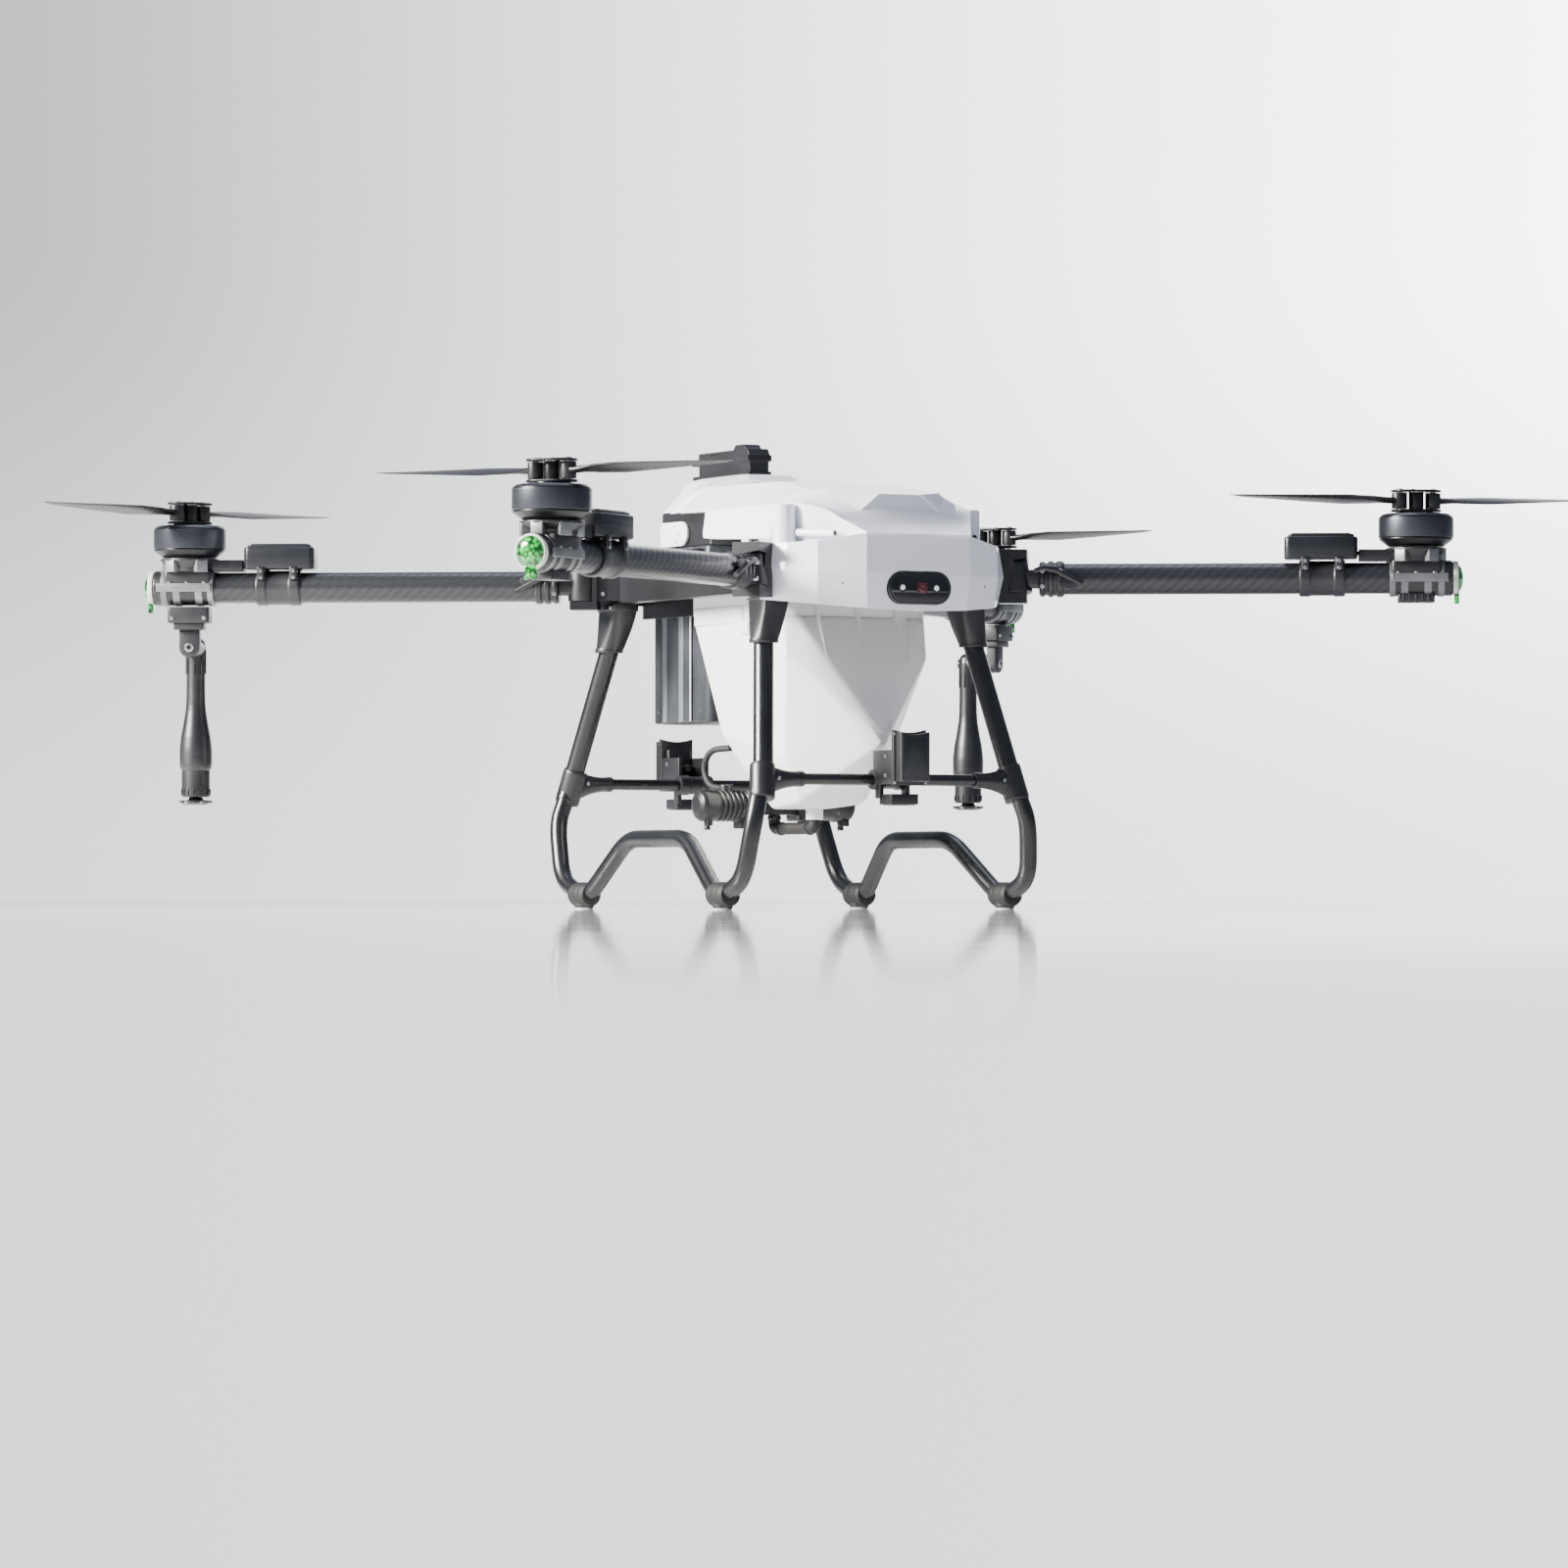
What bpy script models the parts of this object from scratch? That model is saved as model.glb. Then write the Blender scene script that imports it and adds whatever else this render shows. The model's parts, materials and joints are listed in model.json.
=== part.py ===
"""Agricultural spray drone with four folding arms. Metres, +Z up, nose towards -Y, ground at z = 0."""

import math

import bmesh
import bpy
import numpy as np
from mathutils import Matrix, Vector

# ---------------------------------------------------------------- sizes
GAP = 0.0003  # between pieces that touch
SMOOTH_BELOW = math.radians(32.0)
RUNNING = 0.0001  # between a shaft's corners and the flats of its bore

# wheelbase and arms
MOTOR_X, MOTOR_Y = 0.779, 0.647
ARM_Z = 0.530
TUBE_R, TUBE_WALL = 0.025, 0.0025
HINGE_X, HINGE_Y_FRONT, HINGE_Y_REAR = 0.2433, 0.2956, 0.2714
HINGE_TILT = math.radians(13.0)  # lets a folded front arm pass under a rear one
FRONT_FOLD = math.radians(88.0)
KNUCKLE_R, KNUCKLE_H = 0.0240, 0.0500
PIN_R, PIN_BORE_R = 0.0060, 0.0064
BLOCK_BOTTOM, BLOCK_TOP = 0.4910, 0.5770
TIP_REACH = 0.059  # tube end beyond the motor axis

# motor and propeller
MOTOR_R = 0.060
BELL_BOTTOM, BELL_BAND, BELL_SHOULDER, BELL_TOP = 0.580, 0.593, 0.626, 0.632
HUB_BOTTOM, HUB_TOP, HUB_PLATE = 0.636, 0.671, 0.0035
BLADE_PIN = 0.028
PROP_R = 0.310
BLADE_ROOT_R, BLADE_ROOT_H = 0.0125, 0.0250
LIGHT_R, LIGHT_REACH = TUBE_R + 0.0025, 0.0755

# landing gear
SLEEVE_R, RAIL_R, CROSS_R = 0.0160, 0.0143, 0.00925
FOOT_X, FOOT_Y, SKID_Z = 0.2605, 0.244, 0.0235
PAD_R, PAD_H = 0.015, 0.010

# body
BEAM_IN, BEAM_OUT = 0.170, 0.200
BEAM_BOTTOM, BEAM_TOP = 0.502, 0.560
TANK_WALL = 0.004
TANK_PROW = (0.0, -0.300, 0.266)
SHELL_WALL = 0.004
NECK_Y, NECK_R = -0.050, 0.056
BATTERY_X, BATTERY_FRONT, BATTERY_REAR = 0.096, 0.1095, 0.3015
BATTERY_BOTTOM = 0.306

CORNERS = {"fl": (1, -1), "fr": (-1, -1), "rl": (1, 1), "rr": (-1, 1)}
PROP_ANGLE = {"fl": -16.5, "fr": 121.2, "rl": -58.8, "rr": 196.5}
SPIN = {"fl": 1, "rr": 1, "fr": -1, "rl": -1}

for old in list(bpy.data.objects):
    bpy.data.objects.remove(old, do_unlink=True)
drone = bpy.data.collections.new("spray_drone")
working = bpy.data.collections.new("working_shapes")
bpy.context.scene.collection.children.link(drone)
bpy.context.scene.collection.children.link(working)


# ---------------------------------------------------------------- ways of making shapes
def material(name, colour, metallic=0.0, roughness=0.5):
    made = bpy.data.materials.new(name)
    made.use_nodes = True
    shader = made.node_tree.nodes["Principled BSDF"]
    shader.inputs["Base Color"].default_value = (*colour, 1)
    shader.inputs["Metallic"].default_value = metallic
    shader.inputs["Roughness"].default_value = roughness
    return made


def keep(name, bm):
    """A mesh object from a bmesh, with its faces turned outwards."""
    bmesh.ops.recalc_face_normals(bm, faces=bm.faces)
    mesh = bpy.data.meshes.new(name)
    bm.to_mesh(mesh)
    bm.free()
    made = bpy.data.objects.new(name, mesh)
    working.objects.link(made)
    return made


def prism(outline, low, high, name="piece"):
    """A flat outline in XY, extruded from one height to another."""
    bm = bmesh.new()
    base = bm.faces.new([bm.verts.new((x, y, low)) for x, y in outline])
    grown = bmesh.ops.extrude_face_region(bm, geom=[base])["geom"]
    top = [v for v in grown if isinstance(v, bmesh.types.BMVert)]
    bmesh.ops.translate(bm, verts=top, vec=(0, 0, high - low))
    return keep(name, bm)


def box(low, high, name="piece"):
    bm = bmesh.new()
    low, high = Vector(low), Vector(high)
    bmesh.ops.create_cube(bm, size=1.0)
    bmesh.ops.scale(bm, verts=bm.verts, vec=high - low)
    bmesh.ops.translate(bm, verts=bm.verts, vec=(low + high) / 2)
    return keep(name, bm)


def lathe(profile, steps=24, name="piece"):
    """(radius, height) points from the bottom of the axis round to its top, spun about Z."""
    bm = bmesh.new()
    half = math.pi / steps
    line = [bm.verts.new((r * math.cos(half), r * math.sin(half), z)) for r, z in profile]
    edges = [bm.edges.new(pair) for pair in zip(line, line[1:])]
    bmesh.ops.spin(bm, geom=line + edges, cent=(0, 0, 0), axis=(0, 0, 1), angle=2 * math.pi, steps=steps)
    bmesh.ops.remove_doubles(bm, verts=bm.verts, dist=1e-6)
    return keep(name, bm)


def rod(r, low, high, steps=24, name="piece"):
    """An upright cylinder, turned half a side so that its flats face along X and Y."""
    bm = bmesh.new()
    bmesh.ops.create_cone(bm, cap_ends=True, segments=steps, radius1=r, radius2=r, depth=high - low)
    bmesh.ops.rotate(bm, verts=bm.verts, cent=(0, 0, 0), matrix=Matrix.Rotation(math.pi / steps, 3, "Z"))
    bmesh.ops.translate(bm, verts=bm.verts, vec=(0, 0, (low + high) / 2))
    return keep(name, bm)


def hull(points, name="piece"):
    bm = bmesh.new()
    for p in points:
        bm.verts.new(p)
    bmesh.ops.convex_hull(bm, input=bm.verts)
    loose = [v for v in bm.verts if not v.link_faces]
    bmesh.ops.delete(bm, geom=loose, context="VERTS")
    bmesh.ops.dissolve_limit(bm, angle_limit=0.001, verts=bm.verts, edges=bm.edges)
    return keep(name, bm)


def pipe(points, r, sides=4, name="piece"):
    """A round tube along points; sides is the curve's bevel resolution."""
    curve = bpy.data.curves.new(name, "CURVE")
    curve.dimensions = "3D"
    curve.bevel_depth = r
    curve.bevel_resolution = sides
    curve.use_fill_caps = True
    spline = curve.splines.new("POLY")
    spline.points.add(len(points) - 1)
    for point, p in zip(spline.points, points):
        point.co = (*p, 1)
    drawn = bpy.data.objects.new(name, curve)
    working.objects.link(drawn)
    bpy.context.view_layer.update()
    mesh = bpy.data.meshes.new_from_object(drawn.evaluated_get(bpy.context.evaluated_depsgraph_get()))
    bpy.data.objects.remove(drawn, do_unlink=True)
    bm = bmesh.new()
    bm.from_mesh(mesh)
    bmesh.ops.remove_doubles(bm, verts=bm.verts, dist=1e-6)
    return keep(name, bm)


def rounded(points, radius, steps=4):
    """A path through points with each inner corner turned on an arc."""
    points = [Vector(p) for p in points]
    path = [points[0]]
    for before, at, after in zip(points, points[1:], points[2:]):
        a, b = (before - at).normalized(), (after - at).normalized()
        half = a.angle(b) / 2
        back = min(radius / math.tan(half), 0.45 * (before - at).length, 0.45 * (after - at).length)
        start, end = at + a * back, at + b * back
        centre = at + (a + b).normalized() * back / math.cos(half)
        for i in range(steps + 1):
            spoke = (start - centre).normalized().slerp((end - centre).normalized(), i / steps)
            path.append(centre + spoke * (start - centre).length)
    return path + [points[-1]]


def moved(piece, matrix):
    piece.data.transform(matrix)
    if matrix.determinant() < 0:
        piece.data.flip_normals()
    return piece


def combine(piece, others, operation="UNION"):
    """Joins or cuts piece with each of others, which are used up."""
    for other in others:
        step = piece.modifiers.new("step", "BOOLEAN")
        step.operation = operation
        step.solver = "EXACT"
        step.object = other
        bpy.context.view_layer.update()
        seen = piece.evaluated_get(bpy.context.evaluated_depsgraph_get())
        mesh = bpy.data.meshes.new_from_object(seen)
        piece.modifiers.clear()
        piece.data = mesh
        bpy.data.objects.remove(other, do_unlink=True)
    return piece


def cut(piece, *others):
    return combine(piece, others, "DIFFERENCE")


def join(piece, *others):
    return combine(piece, others)


def done(name, piece, look, pivot=(0, 0, 0)):
    """Names a finished piece, smooths its round sides, gives it its material and puts its origin on pivot."""
    working.objects.unlink(piece)
    drone.objects.link(piece)
    piece.name = piece.data.name = name
    piece.data.shade_smooth()
    piece.data.set_sharp_from_angle(angle=SMOOTH_BELOW)
    piece.data.materials.clear()
    piece.data.materials.append(look)
    piece.data.transform(Matrix.Translation(-Vector(pivot)))
    piece.location = pivot
    return piece


ALONG_X = Matrix.Rotation(math.pi / 2, 4, "Y")
ALONG_Y = Matrix.Rotation(-math.pi / 2, 4, "X")
MIRROR_X = Matrix.Scale(-1, 4, (1, 0, 0))
MIRROR_Y = Matrix.Scale(-1, 4, (0, 1, 0))
at = Matrix.Translation

carbon = material("carbon", (0.012, 0.013, 0.016), 0.0, 0.38)
black = material("black_plastic", (0.010, 0.010, 0.012), 0.0, 0.45)
grey = material("cast_aluminium", (0.36, 0.36, 0.37), 0.9, 0.4)
gunmetal = material("gunmetal", (0.045, 0.05, 0.058), 0.8, 0.35)
white = material("white_abs", (0.72, 0.73, 0.77), 0.0, 0.4)
milky = material("milky_pe", (0.80, 0.82, 0.81), 0.0, 0.5)
green = material("green_lens", (0.01, 0.42, 0.05), 0.0, 0.15)
tube_black = material("black_tube", (0.012, 0.012, 0.014), 0.0, 0.35)
battery_grey = material("battery_grey", (0.06, 0.065, 0.07), 0.2, 0.4)
glass = material("black_glass", (0.006, 0.006, 0.008), 0.0, 0.1)


def corner(name):
    """The hinge point of a corner and the turn that lays local X along its arm."""
    sx, sy = CORNERS[name]
    hinge_y = HINGE_Y_FRONT if sy < 0 else HINGE_Y_REAR
    hinge = Vector((sx * HINGE_X, sy * hinge_y, ARM_Z))
    out = Vector((sx * (MOTOR_X - HINGE_X), sy * (MOTOR_Y - hinge_y), 0))
    turn = Matrix.Rotation(math.atan2(out.y, out.x), 4, "Z")
    return hinge, at(hinge) @ turn, out.length


def tilt(name):
    """The lean of a corner's hinge pin, in its arm's own frame, towards the middle of the arm's swing."""
    sx, sy = CORNERS[name]
    if sy > 0:
        return Matrix.Identity(4)
    lean = Vector((math.sin(FRONT_FOLD / 2), sx * math.cos(FRONT_FOLD / 2), 0))
    pin = Vector((-math.sin(HINGE_TILT) * lean.x, math.sin(HINGE_TILT) * lean.y, math.cos(HINGE_TILT)))
    return Vector((0, 0, 1)).rotation_difference(pin).to_matrix().to_4x4()


# ---------------------------------------------------------------- frame
def center_frame():
    frame = box((BEAM_IN, -0.285, BEAM_BOTTOM), (BEAM_OUT, 0.330, BEAM_TOP))
    join(frame, box((-BEAM_OUT, -0.285, BEAM_BOTTOM), (-BEAM_IN, 0.330, BEAM_TOP)))
    # front shelf for the electronics, rear bar behind the battery
    join(frame, box((-0.18, -0.300, BEAM_BOTTOM), (0.18, -0.215, 0.512)))
    join(frame, box((-0.19, 0.310, BEAM_BOTTOM), (0.19, 0.331, BEAM_TOP)))
    # two rails that guide the battery at its sides
    for side in (-1, 1):
        x0, x1 = sorted((side * 0.0985, side * 0.108))
        join(frame, box((x0, 0.125, 0.480), (x1, 0.315, 0.590)))
        x0, x1 = sorted((side * 0.104, side * 0.175))
        join(frame, box((x0, 0.150, 0.515), (x1, 0.180, 0.545)))
    # a stub towards each hinge block
    for name in CORNERS:
        _, place, _ = corner(name)
        join(frame, moved(box((-0.080, -0.017, -0.024), (-0.0403, 0.017, 0.027)), place))
    return done("center_frame", frame, black)


def hinge_block(name):
    _, place, _ = corner(name)
    lean = tilt(name)
    block = box((-0.0262, -0.0240, BLOCK_BOTTOM - ARM_Z), (0.0190, 0.0240, BLOCK_TOP - ARM_Z))
    join(block, box((-0.0400, -0.0170, -0.0240), (-0.0250, 0.0170, 0.0270)))
    slot = KNUCKLE_H / 2 + 0.0008
    # the slot is square to the leaning pin, and open outwards and on the side that the arm swings to
    inside = rod(KNUCKLE_R + 0.0012, -slot, slot, 20)
    join(inside, box((0.002, -0.08, -slot), (0.08, 0.08, slot)))
    swing = -CORNERS[name][0] * CORNERS[name][1]
    y0, y1 = sorted((0.001 * swing, 0.080 * swing))
    join(inside, box((-0.0182, y0, -slot + 0.0001), (0.079, y1, slot - 0.0001)))
    cut(block, moved(inside, lean))
    join(block, moved(rod(PIN_R, -0.038, 0.038, 12), lean))
    trim = box((-0.06, -0.06, BLOCK_TOP - ARM_Z), (0.06, 0.06, 0.1))
    cut(block, trim)
    trim = box((-0.06, -0.06, -0.1), (0.06, 0.06, BLOCK_BOTTOM - ARM_Z))
    cut(block, trim)
    return done("hinge_block_" + name, moved(block, place), black)


def arm(name):
    hinge, place, length = corner(name)
    lean = tilt(name)
    knuckle = moved(rod(KNUCKLE_R, -KNUCKLE_H / 2, KNUCKLE_H / 2, 20), lean)
    neck = box((0.006, -0.0150, -0.0160), (0.050, 0.0150, 0.0160))
    join(knuckle, neck)
    collar = moved(rod(TUBE_R + 0.0040, 0.040, 0.078, 20), ALONG_X)
    join(knuckle, collar)
    tube = moved(rod(TUBE_R, 0.070, length + TIP_REACH, 20), ALONG_X)
    join(knuckle, tube)
    # the over-centre latch on the arm's side, just outside the collar
    latch = hull([(x, -TUBE_R + 0.0035 - w, z) for x in (0.078, 0.112)
                  for w, z in ((0, -0.022), (0.008, -0.018), (0.008, 0.000), (0, 0.004))])
    join(knuckle, latch)
    cut(knuckle, moved(rod(PIN_BORE_R, -0.06, 0.06, 12), lean))
    cut(knuckle, moved(rod(TUBE_R - TUBE_WALL, 0.0900, length + TIP_REACH + 0.01, 20), ALONG_X))
    return done("arm_" + name, moved(knuckle, place), carbon, hinge)


# ---------------------------------------------------------------- motor end of an arm
def motor_mount(name):
    _, place, length = corner(name)
    rear = CORNERS[name][1] > 0
    place = place @ at((length, 0, 0))
    clamp_r = TUBE_R + 0.0050
    clamp = moved(rod(clamp_r, -0.043, TIP_REACH - GAP, 20), ALONG_X)
    # bolted-on split along both sides
    flange = clamp_r + 0.0045
    join(clamp, box((-0.040, -flange, -0.0080), (0.052, flange, 0.0080)))
    join(clamp, lathe([(0, 0.0), (0.042, 0.0), (0.042, 0.0262), (0.050, 0.0285), (0.050, 0.0482), (0, 0.0482)], 20))
    # a step inboard that meets the speed controller
    join(clamp, box((-0.0925, -0.0200, 0.0262), (-0.030, 0.0200, 0.0470)))
    if not rear:
        join(clamp, box((-0.030, -0.0170, -clamp_r - 0.0100), (0.030, 0.0170, -clamp_r + 0.0100)))
    cut(clamp, moved(rod(TUBE_R + GAP, -0.12, 0.12, 20), ALONG_X))
    return done("motor_mount_" + name, moved(clamp, place), grey)


def esc(name):
    _, place, length = corner(name)
    place = place @ at((length, 0, 0))
    case = hull([(x, side * y, z) for x in (-0.2110, -0.0930) for side in (-1, 1)
                 for y, z in ((0.0275, 0.030), (0.0275, 0.064), (0.0210, 0.071))])
    join(case, box((-0.1950, -0.0180, 0.0180), (-0.1050, 0.0180, 0.0320)))
    band = moved(rod(TUBE_R + 0.0045, -0.187, -0.113, 20), ALONG_X)
    join(case, band)
    cut(case, moved(rod(TUBE_R + GAP, -0.25, 0.0, 20), ALONG_X))
    return done("esc_" + name, moved(case, place), grey)


def tip_light(name):
    _, place, length = corner(name)
    dome = [(0, 0.0), (LIGHT_R, 0.0), (LIGHT_R, 0.006), (LIGHT_R - 0.0065, 0.013), (LIGHT_R - 0.0155, 0.0161), (0, 0.0161)]
    lens = lathe(dome, 16)
    moved(lens, ALONG_X)
    join(lens, box((0.0015, -0.0110, -TUBE_R - 0.0150), (0.0105, 0.0110, -TUBE_R + 0.0100)))
    return done("tip_light_" + name, moved(lens, place @ at((length + LIGHT_REACH - 0.0161, 0, 0))), green)


def rotor(name):
    sx, sy = CORNERS[name]
    motor = Vector((sx * MOTOR_X, sy * MOTOR_Y, 0))
    bell = lathe([
        (0, BELL_BOTTOM), (0.046, BELL_BOTTOM), (MOTOR_R - 0.001, BELL_BAND - 0.001), (MOTOR_R, BELL_BAND),
        (MOTOR_R, BELL_SHOULDER), (0.052, BELL_TOP), (0.028, BELL_TOP), (0.028, HUB_BOTTOM + 0.001),
        (0, HUB_BOTTOM + 0.001)], 20)
    turned = Matrix.Rotation(math.radians(PROP_ANGLE[name]), 4, "Z")
    round_plate = [(0.0155 * s + 0.0260 * math.cos(t), 0.0260 * math.sin(t))
                   for s, first in ((1, -90), (-1, 90)) for t in np.radians(np.arange(first, first + 181, 45))]
    low = prism(round_plate, HUB_BOTTOM, HUB_BOTTOM + HUB_PLATE)
    high = prism(round_plate, HUB_TOP - HUB_PLATE, HUB_TOP)
    join(low, rod(0.0120, HUB_BOTTOM + 0.001, HUB_TOP - 0.001, 12))
    for side in (-1, 1):
        join(low, moved(rod(0.0040, HUB_BOTTOM + 0.001, HUB_TOP - 0.001, 8), at((side * BLADE_PIN, 0, 0))))
    join(low, high)
    join(bell, moved(low, turned))
    return done("rotor_" + name, moved(bell, at(motor)), gunmetal, motor + Vector((0, 0, BELL_BOTTOM)))


def blade(name, which):
    """One folding blade: a boss on its pin, then sections of falling chord, thickness and pitch out to a narrow tip."""
    sx, sy = CORNERS[name]
    middle = (HUB_BOTTOM + HUB_TOP) / 2
    reach = np.array([0.006, 0.018, 0.045, 0.090, 0.160, 0.235, PROP_R - BLADE_PIN])
    chord = np.array([0.020, 0.022, 0.036, 0.044, 0.039, 0.026, 0.007])
    thick = np.array([0.0110, 0.0100, 0.0075, 0.0060, 0.0046, 0.0030, 0.0016])
    pitch = np.radians([2.0, 6.0, 15.0, 17.0, 13.0, 9.0, 5.0]) * SPIN[name]
    lift = np.array([0, 0, 0.0005, 0.001, 0.0024, 0.004, 0.006])
    bm = bmesh.new()
    rings = []
    for x, c, t, a, z in zip(reach, chord, thick, pitch, lift):
        shape = [(-0.5, 0.0), (-0.2, 0.5), (0.2, 0.45), (0.5, 0.0), (0.2, -0.45), (-0.2, -0.5)]
        ring = []
        for u, v in shape:
            u, v = u * c * SPIN[name], v * t
            y, up = u * math.cos(a) - v * math.sin(a), u * math.sin(a) + v * math.cos(a)
            ring.append(bm.verts.new((x, y, z + up)))
        rings.append(ring)
    for one, two in zip(rings, rings[1:]):
        for i in range(6):
            j = (i + 1) % 6
            bm.faces.new((one[i], one[j], two[j], two[i]))
    bm.faces.new(rings[0])
    bm.faces.new(rings[-1])
    foil = keep("foil", bm)
    join(foil, rod(BLADE_ROOT_R, -BLADE_ROOT_H / 2, BLADE_ROOT_H / 2, 12))
    cut(foil, rod(0.0045, -0.03, 0.03, 8))
    turned = Matrix.Rotation(math.radians(PROP_ANGLE[name] + (0 if which == "a" else 180)), 4, "Z")
    place = at((sx * MOTOR_X, sy * MOTOR_Y, middle)) @ turned @ at((BLADE_PIN, 0, 0))
    return done("blade_" + name + "_" + which, moved(foil, place), carbon, place.translation)


# ---------------------------------------------------------------- spray nozzles, under the two rear arms
NOZZLE_TOP, NOZZLE_PIVOT, NOZZLE_SIDE = 0.488, 0.432, 0.052


def nozzle(name):
    sx, sy = CORNERS[name]
    _, place, length = corner(name)
    side = 1 if sx > 0 else -1  # towards the drone's own rear
    place = place @ at((length, 0, 0))
    z = {n: v - ARM_Z for n, v in (("top", NOZZLE_TOP), ("pivot", NOZZLE_PIVOT))}
    bracket = box((-0.0340, -0.0200, z["top"] - 0.0150), (0.0340, 0.0200, z["top"] + 0.0110))
    join(bracket, box((-0.0240, -0.0160, z["top"] - 0.0260), (0.0240, 0.0160, z["top"] - 0.0100)))
    join(bracket, box((-0.0170, -0.0085, -0.1190), (0.0170, 0.0085, z["top"] - 0.0200)))
    cross = ALONG_Y
    join(bracket, moved(rod(0.0170, -0.0085, 0.0085, 16), at((0, 0, z["pivot"])) @ cross))
    cut(bracket, moved(rod(TUBE_R + 0.0060, -0.06, 0.06, 20), ALONG_X))
    cut(bracket, moved(rod(0.0052, -0.03, 0.03, 12), at((0, 0, z["pivot"])) @ cross))
    done("nozzle_bracket_" + name, moved(bracket, place), black)
    # barrel: an ear on the pivot, then the motor housing that hangs beside it
    hang = NOZZLE_SIDE * side
    ear0, ear1 = sorted((side * 0.0090, hang))
    barrel = moved(rod(0.0160, ear0, ear1, 16), at((0, 0, z["pivot"])) @ cross)
    pin0, pin1 = sorted((-side * 0.0110, side * 0.0200))
    join(barrel, moved(rod(0.0048, pin0, pin1, 12), at((0, 0, z["pivot"])) @ cross))
    low = lathe([
        (0, 0.1854), (0.0235, 0.1854), (0.0235, 0.2307), (0.0255, 0.2340), (0.0270, 0.2450), (0.0270, 0.2620),
        (0.0245, 0.2900), (0.0165, 0.3328), (0.0155, 0.4100), (0.0165, 0.4330), (0.0120, 0.4480), (0, 0.4500)], 16)
    moved(low, at((0, hang, -ARM_Z)))
    join(barrel, low)
    pivot = place @ Vector((0, 0, z["pivot"]))
    done("nozzle_barrel_" + name, moved(barrel, place), black, pivot)
    rim = [(0, 0.1730), (0.0200, 0.1730), (0.0275, 0.1765), (0.0275, 0.1795), (0.0120, 0.1810), (0.0120, 0.1851), (0, 0.1851)]
    disc = lathe(rim, 16)
    moved(disc, at((0, hang, -ARM_Z)))
    return done("nozzle_disc_" + name, moved(disc, place), black, place @ Vector((0, hang, 0.1851 - ARM_Z)))


# ---------------------------------------------------------------- landing gear
LEG_FRONT = [(0.1900, -0.2400, 0.445), (0.2270, -0.3050, 0.2200), (0.2390, -0.3121, 0.1818)]
LEG_REAR = [(0.1900, 0.2660, 0.445), (0.2270, 0.3340, 0.2200), (0.2390, 0.3388, 0.1818)]
TEE_FRONT, TEE_REAR = (0.2295, -0.3065, 0.2060), (0.2295, 0.3350, 0.2060)


def leg_upper(name):
    sx, sy = CORNERS[name]
    leg = [Vector(p) for p in (LEG_FRONT if sy < 0 else LEG_REAR)]
    tube = pipe(leg, SLEEVE_R, 3)
    top = leg[0]
    socket = hull(
        [(x, top.y + y, z) for x in (0.1580, 0.2040) for y in (-0.030, 0.030) for z in (0.4900, 0.5015)]
        + [(0.1935 + 0.0225 * math.cos(t), top.y + sy * 0.0060 + 0.0225 * math.sin(t), 0.4220)
           for t in np.radians(np.arange(0, 360, 30))])
    join(tube, socket)
    if sx < 0:
        moved(tube, MIRROR_X)
    return done("leg_upper_" + name, tube, tube_black)


def side_rail(side):
    front = [(0.2395, -0.3124, 0.1800), (0.2520, -0.3198, 0.1403), (0.2620, -0.3040, 0.0480),
             (FOOT_X, -FOOT_Y, SKID_Z)]
    rear = [(0.2395, 0.3390, 0.1800), (0.2520, 0.3440, 0.1403), (0.2620, 0.3080, 0.0480),
            (FOOT_X, FOOT_Y, SKID_Z)]
    bump = [(FOOT_X, -FOOT_Y + 0.030, SKID_Z), (0.2450, -0.0900, 0.1136), (0.2450, 0.1100, 0.1136),
            (FOOT_X, FOOT_Y - 0.030, SKID_Z)]
    rail = pipe(rounded(front + bump + rear[::-1], 0.034, 2), RAIL_R, 2)
    for y in (-FOOT_Y + 0.010, FOOT_Y - 0.010):
        # rubber collar and the pad it stands on
        half = [(0.0180, 0.026), (0.0205, 0.020)]
        collar = lathe([(0, -0.026)] + [(r, -z) for r, z in half] + half[::-1] + [(0, 0.026)], 12)
        join(rail, moved(collar, at((FOOT_X, y, SKID_Z)) @ ALONG_Y))
        join(rail, moved(rod(PAD_R, 0.0, 0.0200, 12), at((FOOT_X, y, 0))))
    if side < 0:
        moved(rail, MIRROR_X)
    return done("side_rail_" + ("l" if side > 0 else "r"), rail, tube_black)


def cross_tube(end):
    tee = Vector(TEE_FRONT if end == "front" else TEE_REAR)
    leg = [Vector(p) for p in (LEG_FRONT if end == "front" else LEG_REAR)]
    tube = moved(rod(CROSS_R, -(tee.x - 0.010), tee.x - 0.010, 12), at((0, tee.y, tee.z)) @ ALONG_X)
    run = (leg[1] - leg[0]).normalized()
    for side in (-1, 1):
        flip = MIRROR_X if side < 0 else Matrix.Identity(4)
        ring = pipe([tee - run * 0.022, tee + run * 0.012], SLEEVE_R + 0.0045, 3)
        gusset = hull([tee + Vector((x, y, z)) for y in (-0.006, 0.006)
                       for x, z in ((-0.012, 0.020), (-0.012, -0.015), (-0.052, 0.008), (-0.052, -0.008))])
        sleeve = moved(rod(0.0120, tee.x - 0.070, tee.x - 0.045, 12), at((0, tee.y, tee.z)) @ ALONG_X)
        join(ring, gusset, sleeve)
        join(tube, moved(ring, flip))
    for side in (-1, 1):
        flip = MIRROR_X if side < 0 else Matrix.Identity(4)
        inside = [leg[1] - run * 0.05, leg[1], leg[2] + (leg[2] - leg[1]).normalized() * 0.03]
        cut(tube, moved(pipe(inside, SLEEVE_R + GAP, 3), flip))
    return done("cross_tube_" + end, tube, tube_black)


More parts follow.
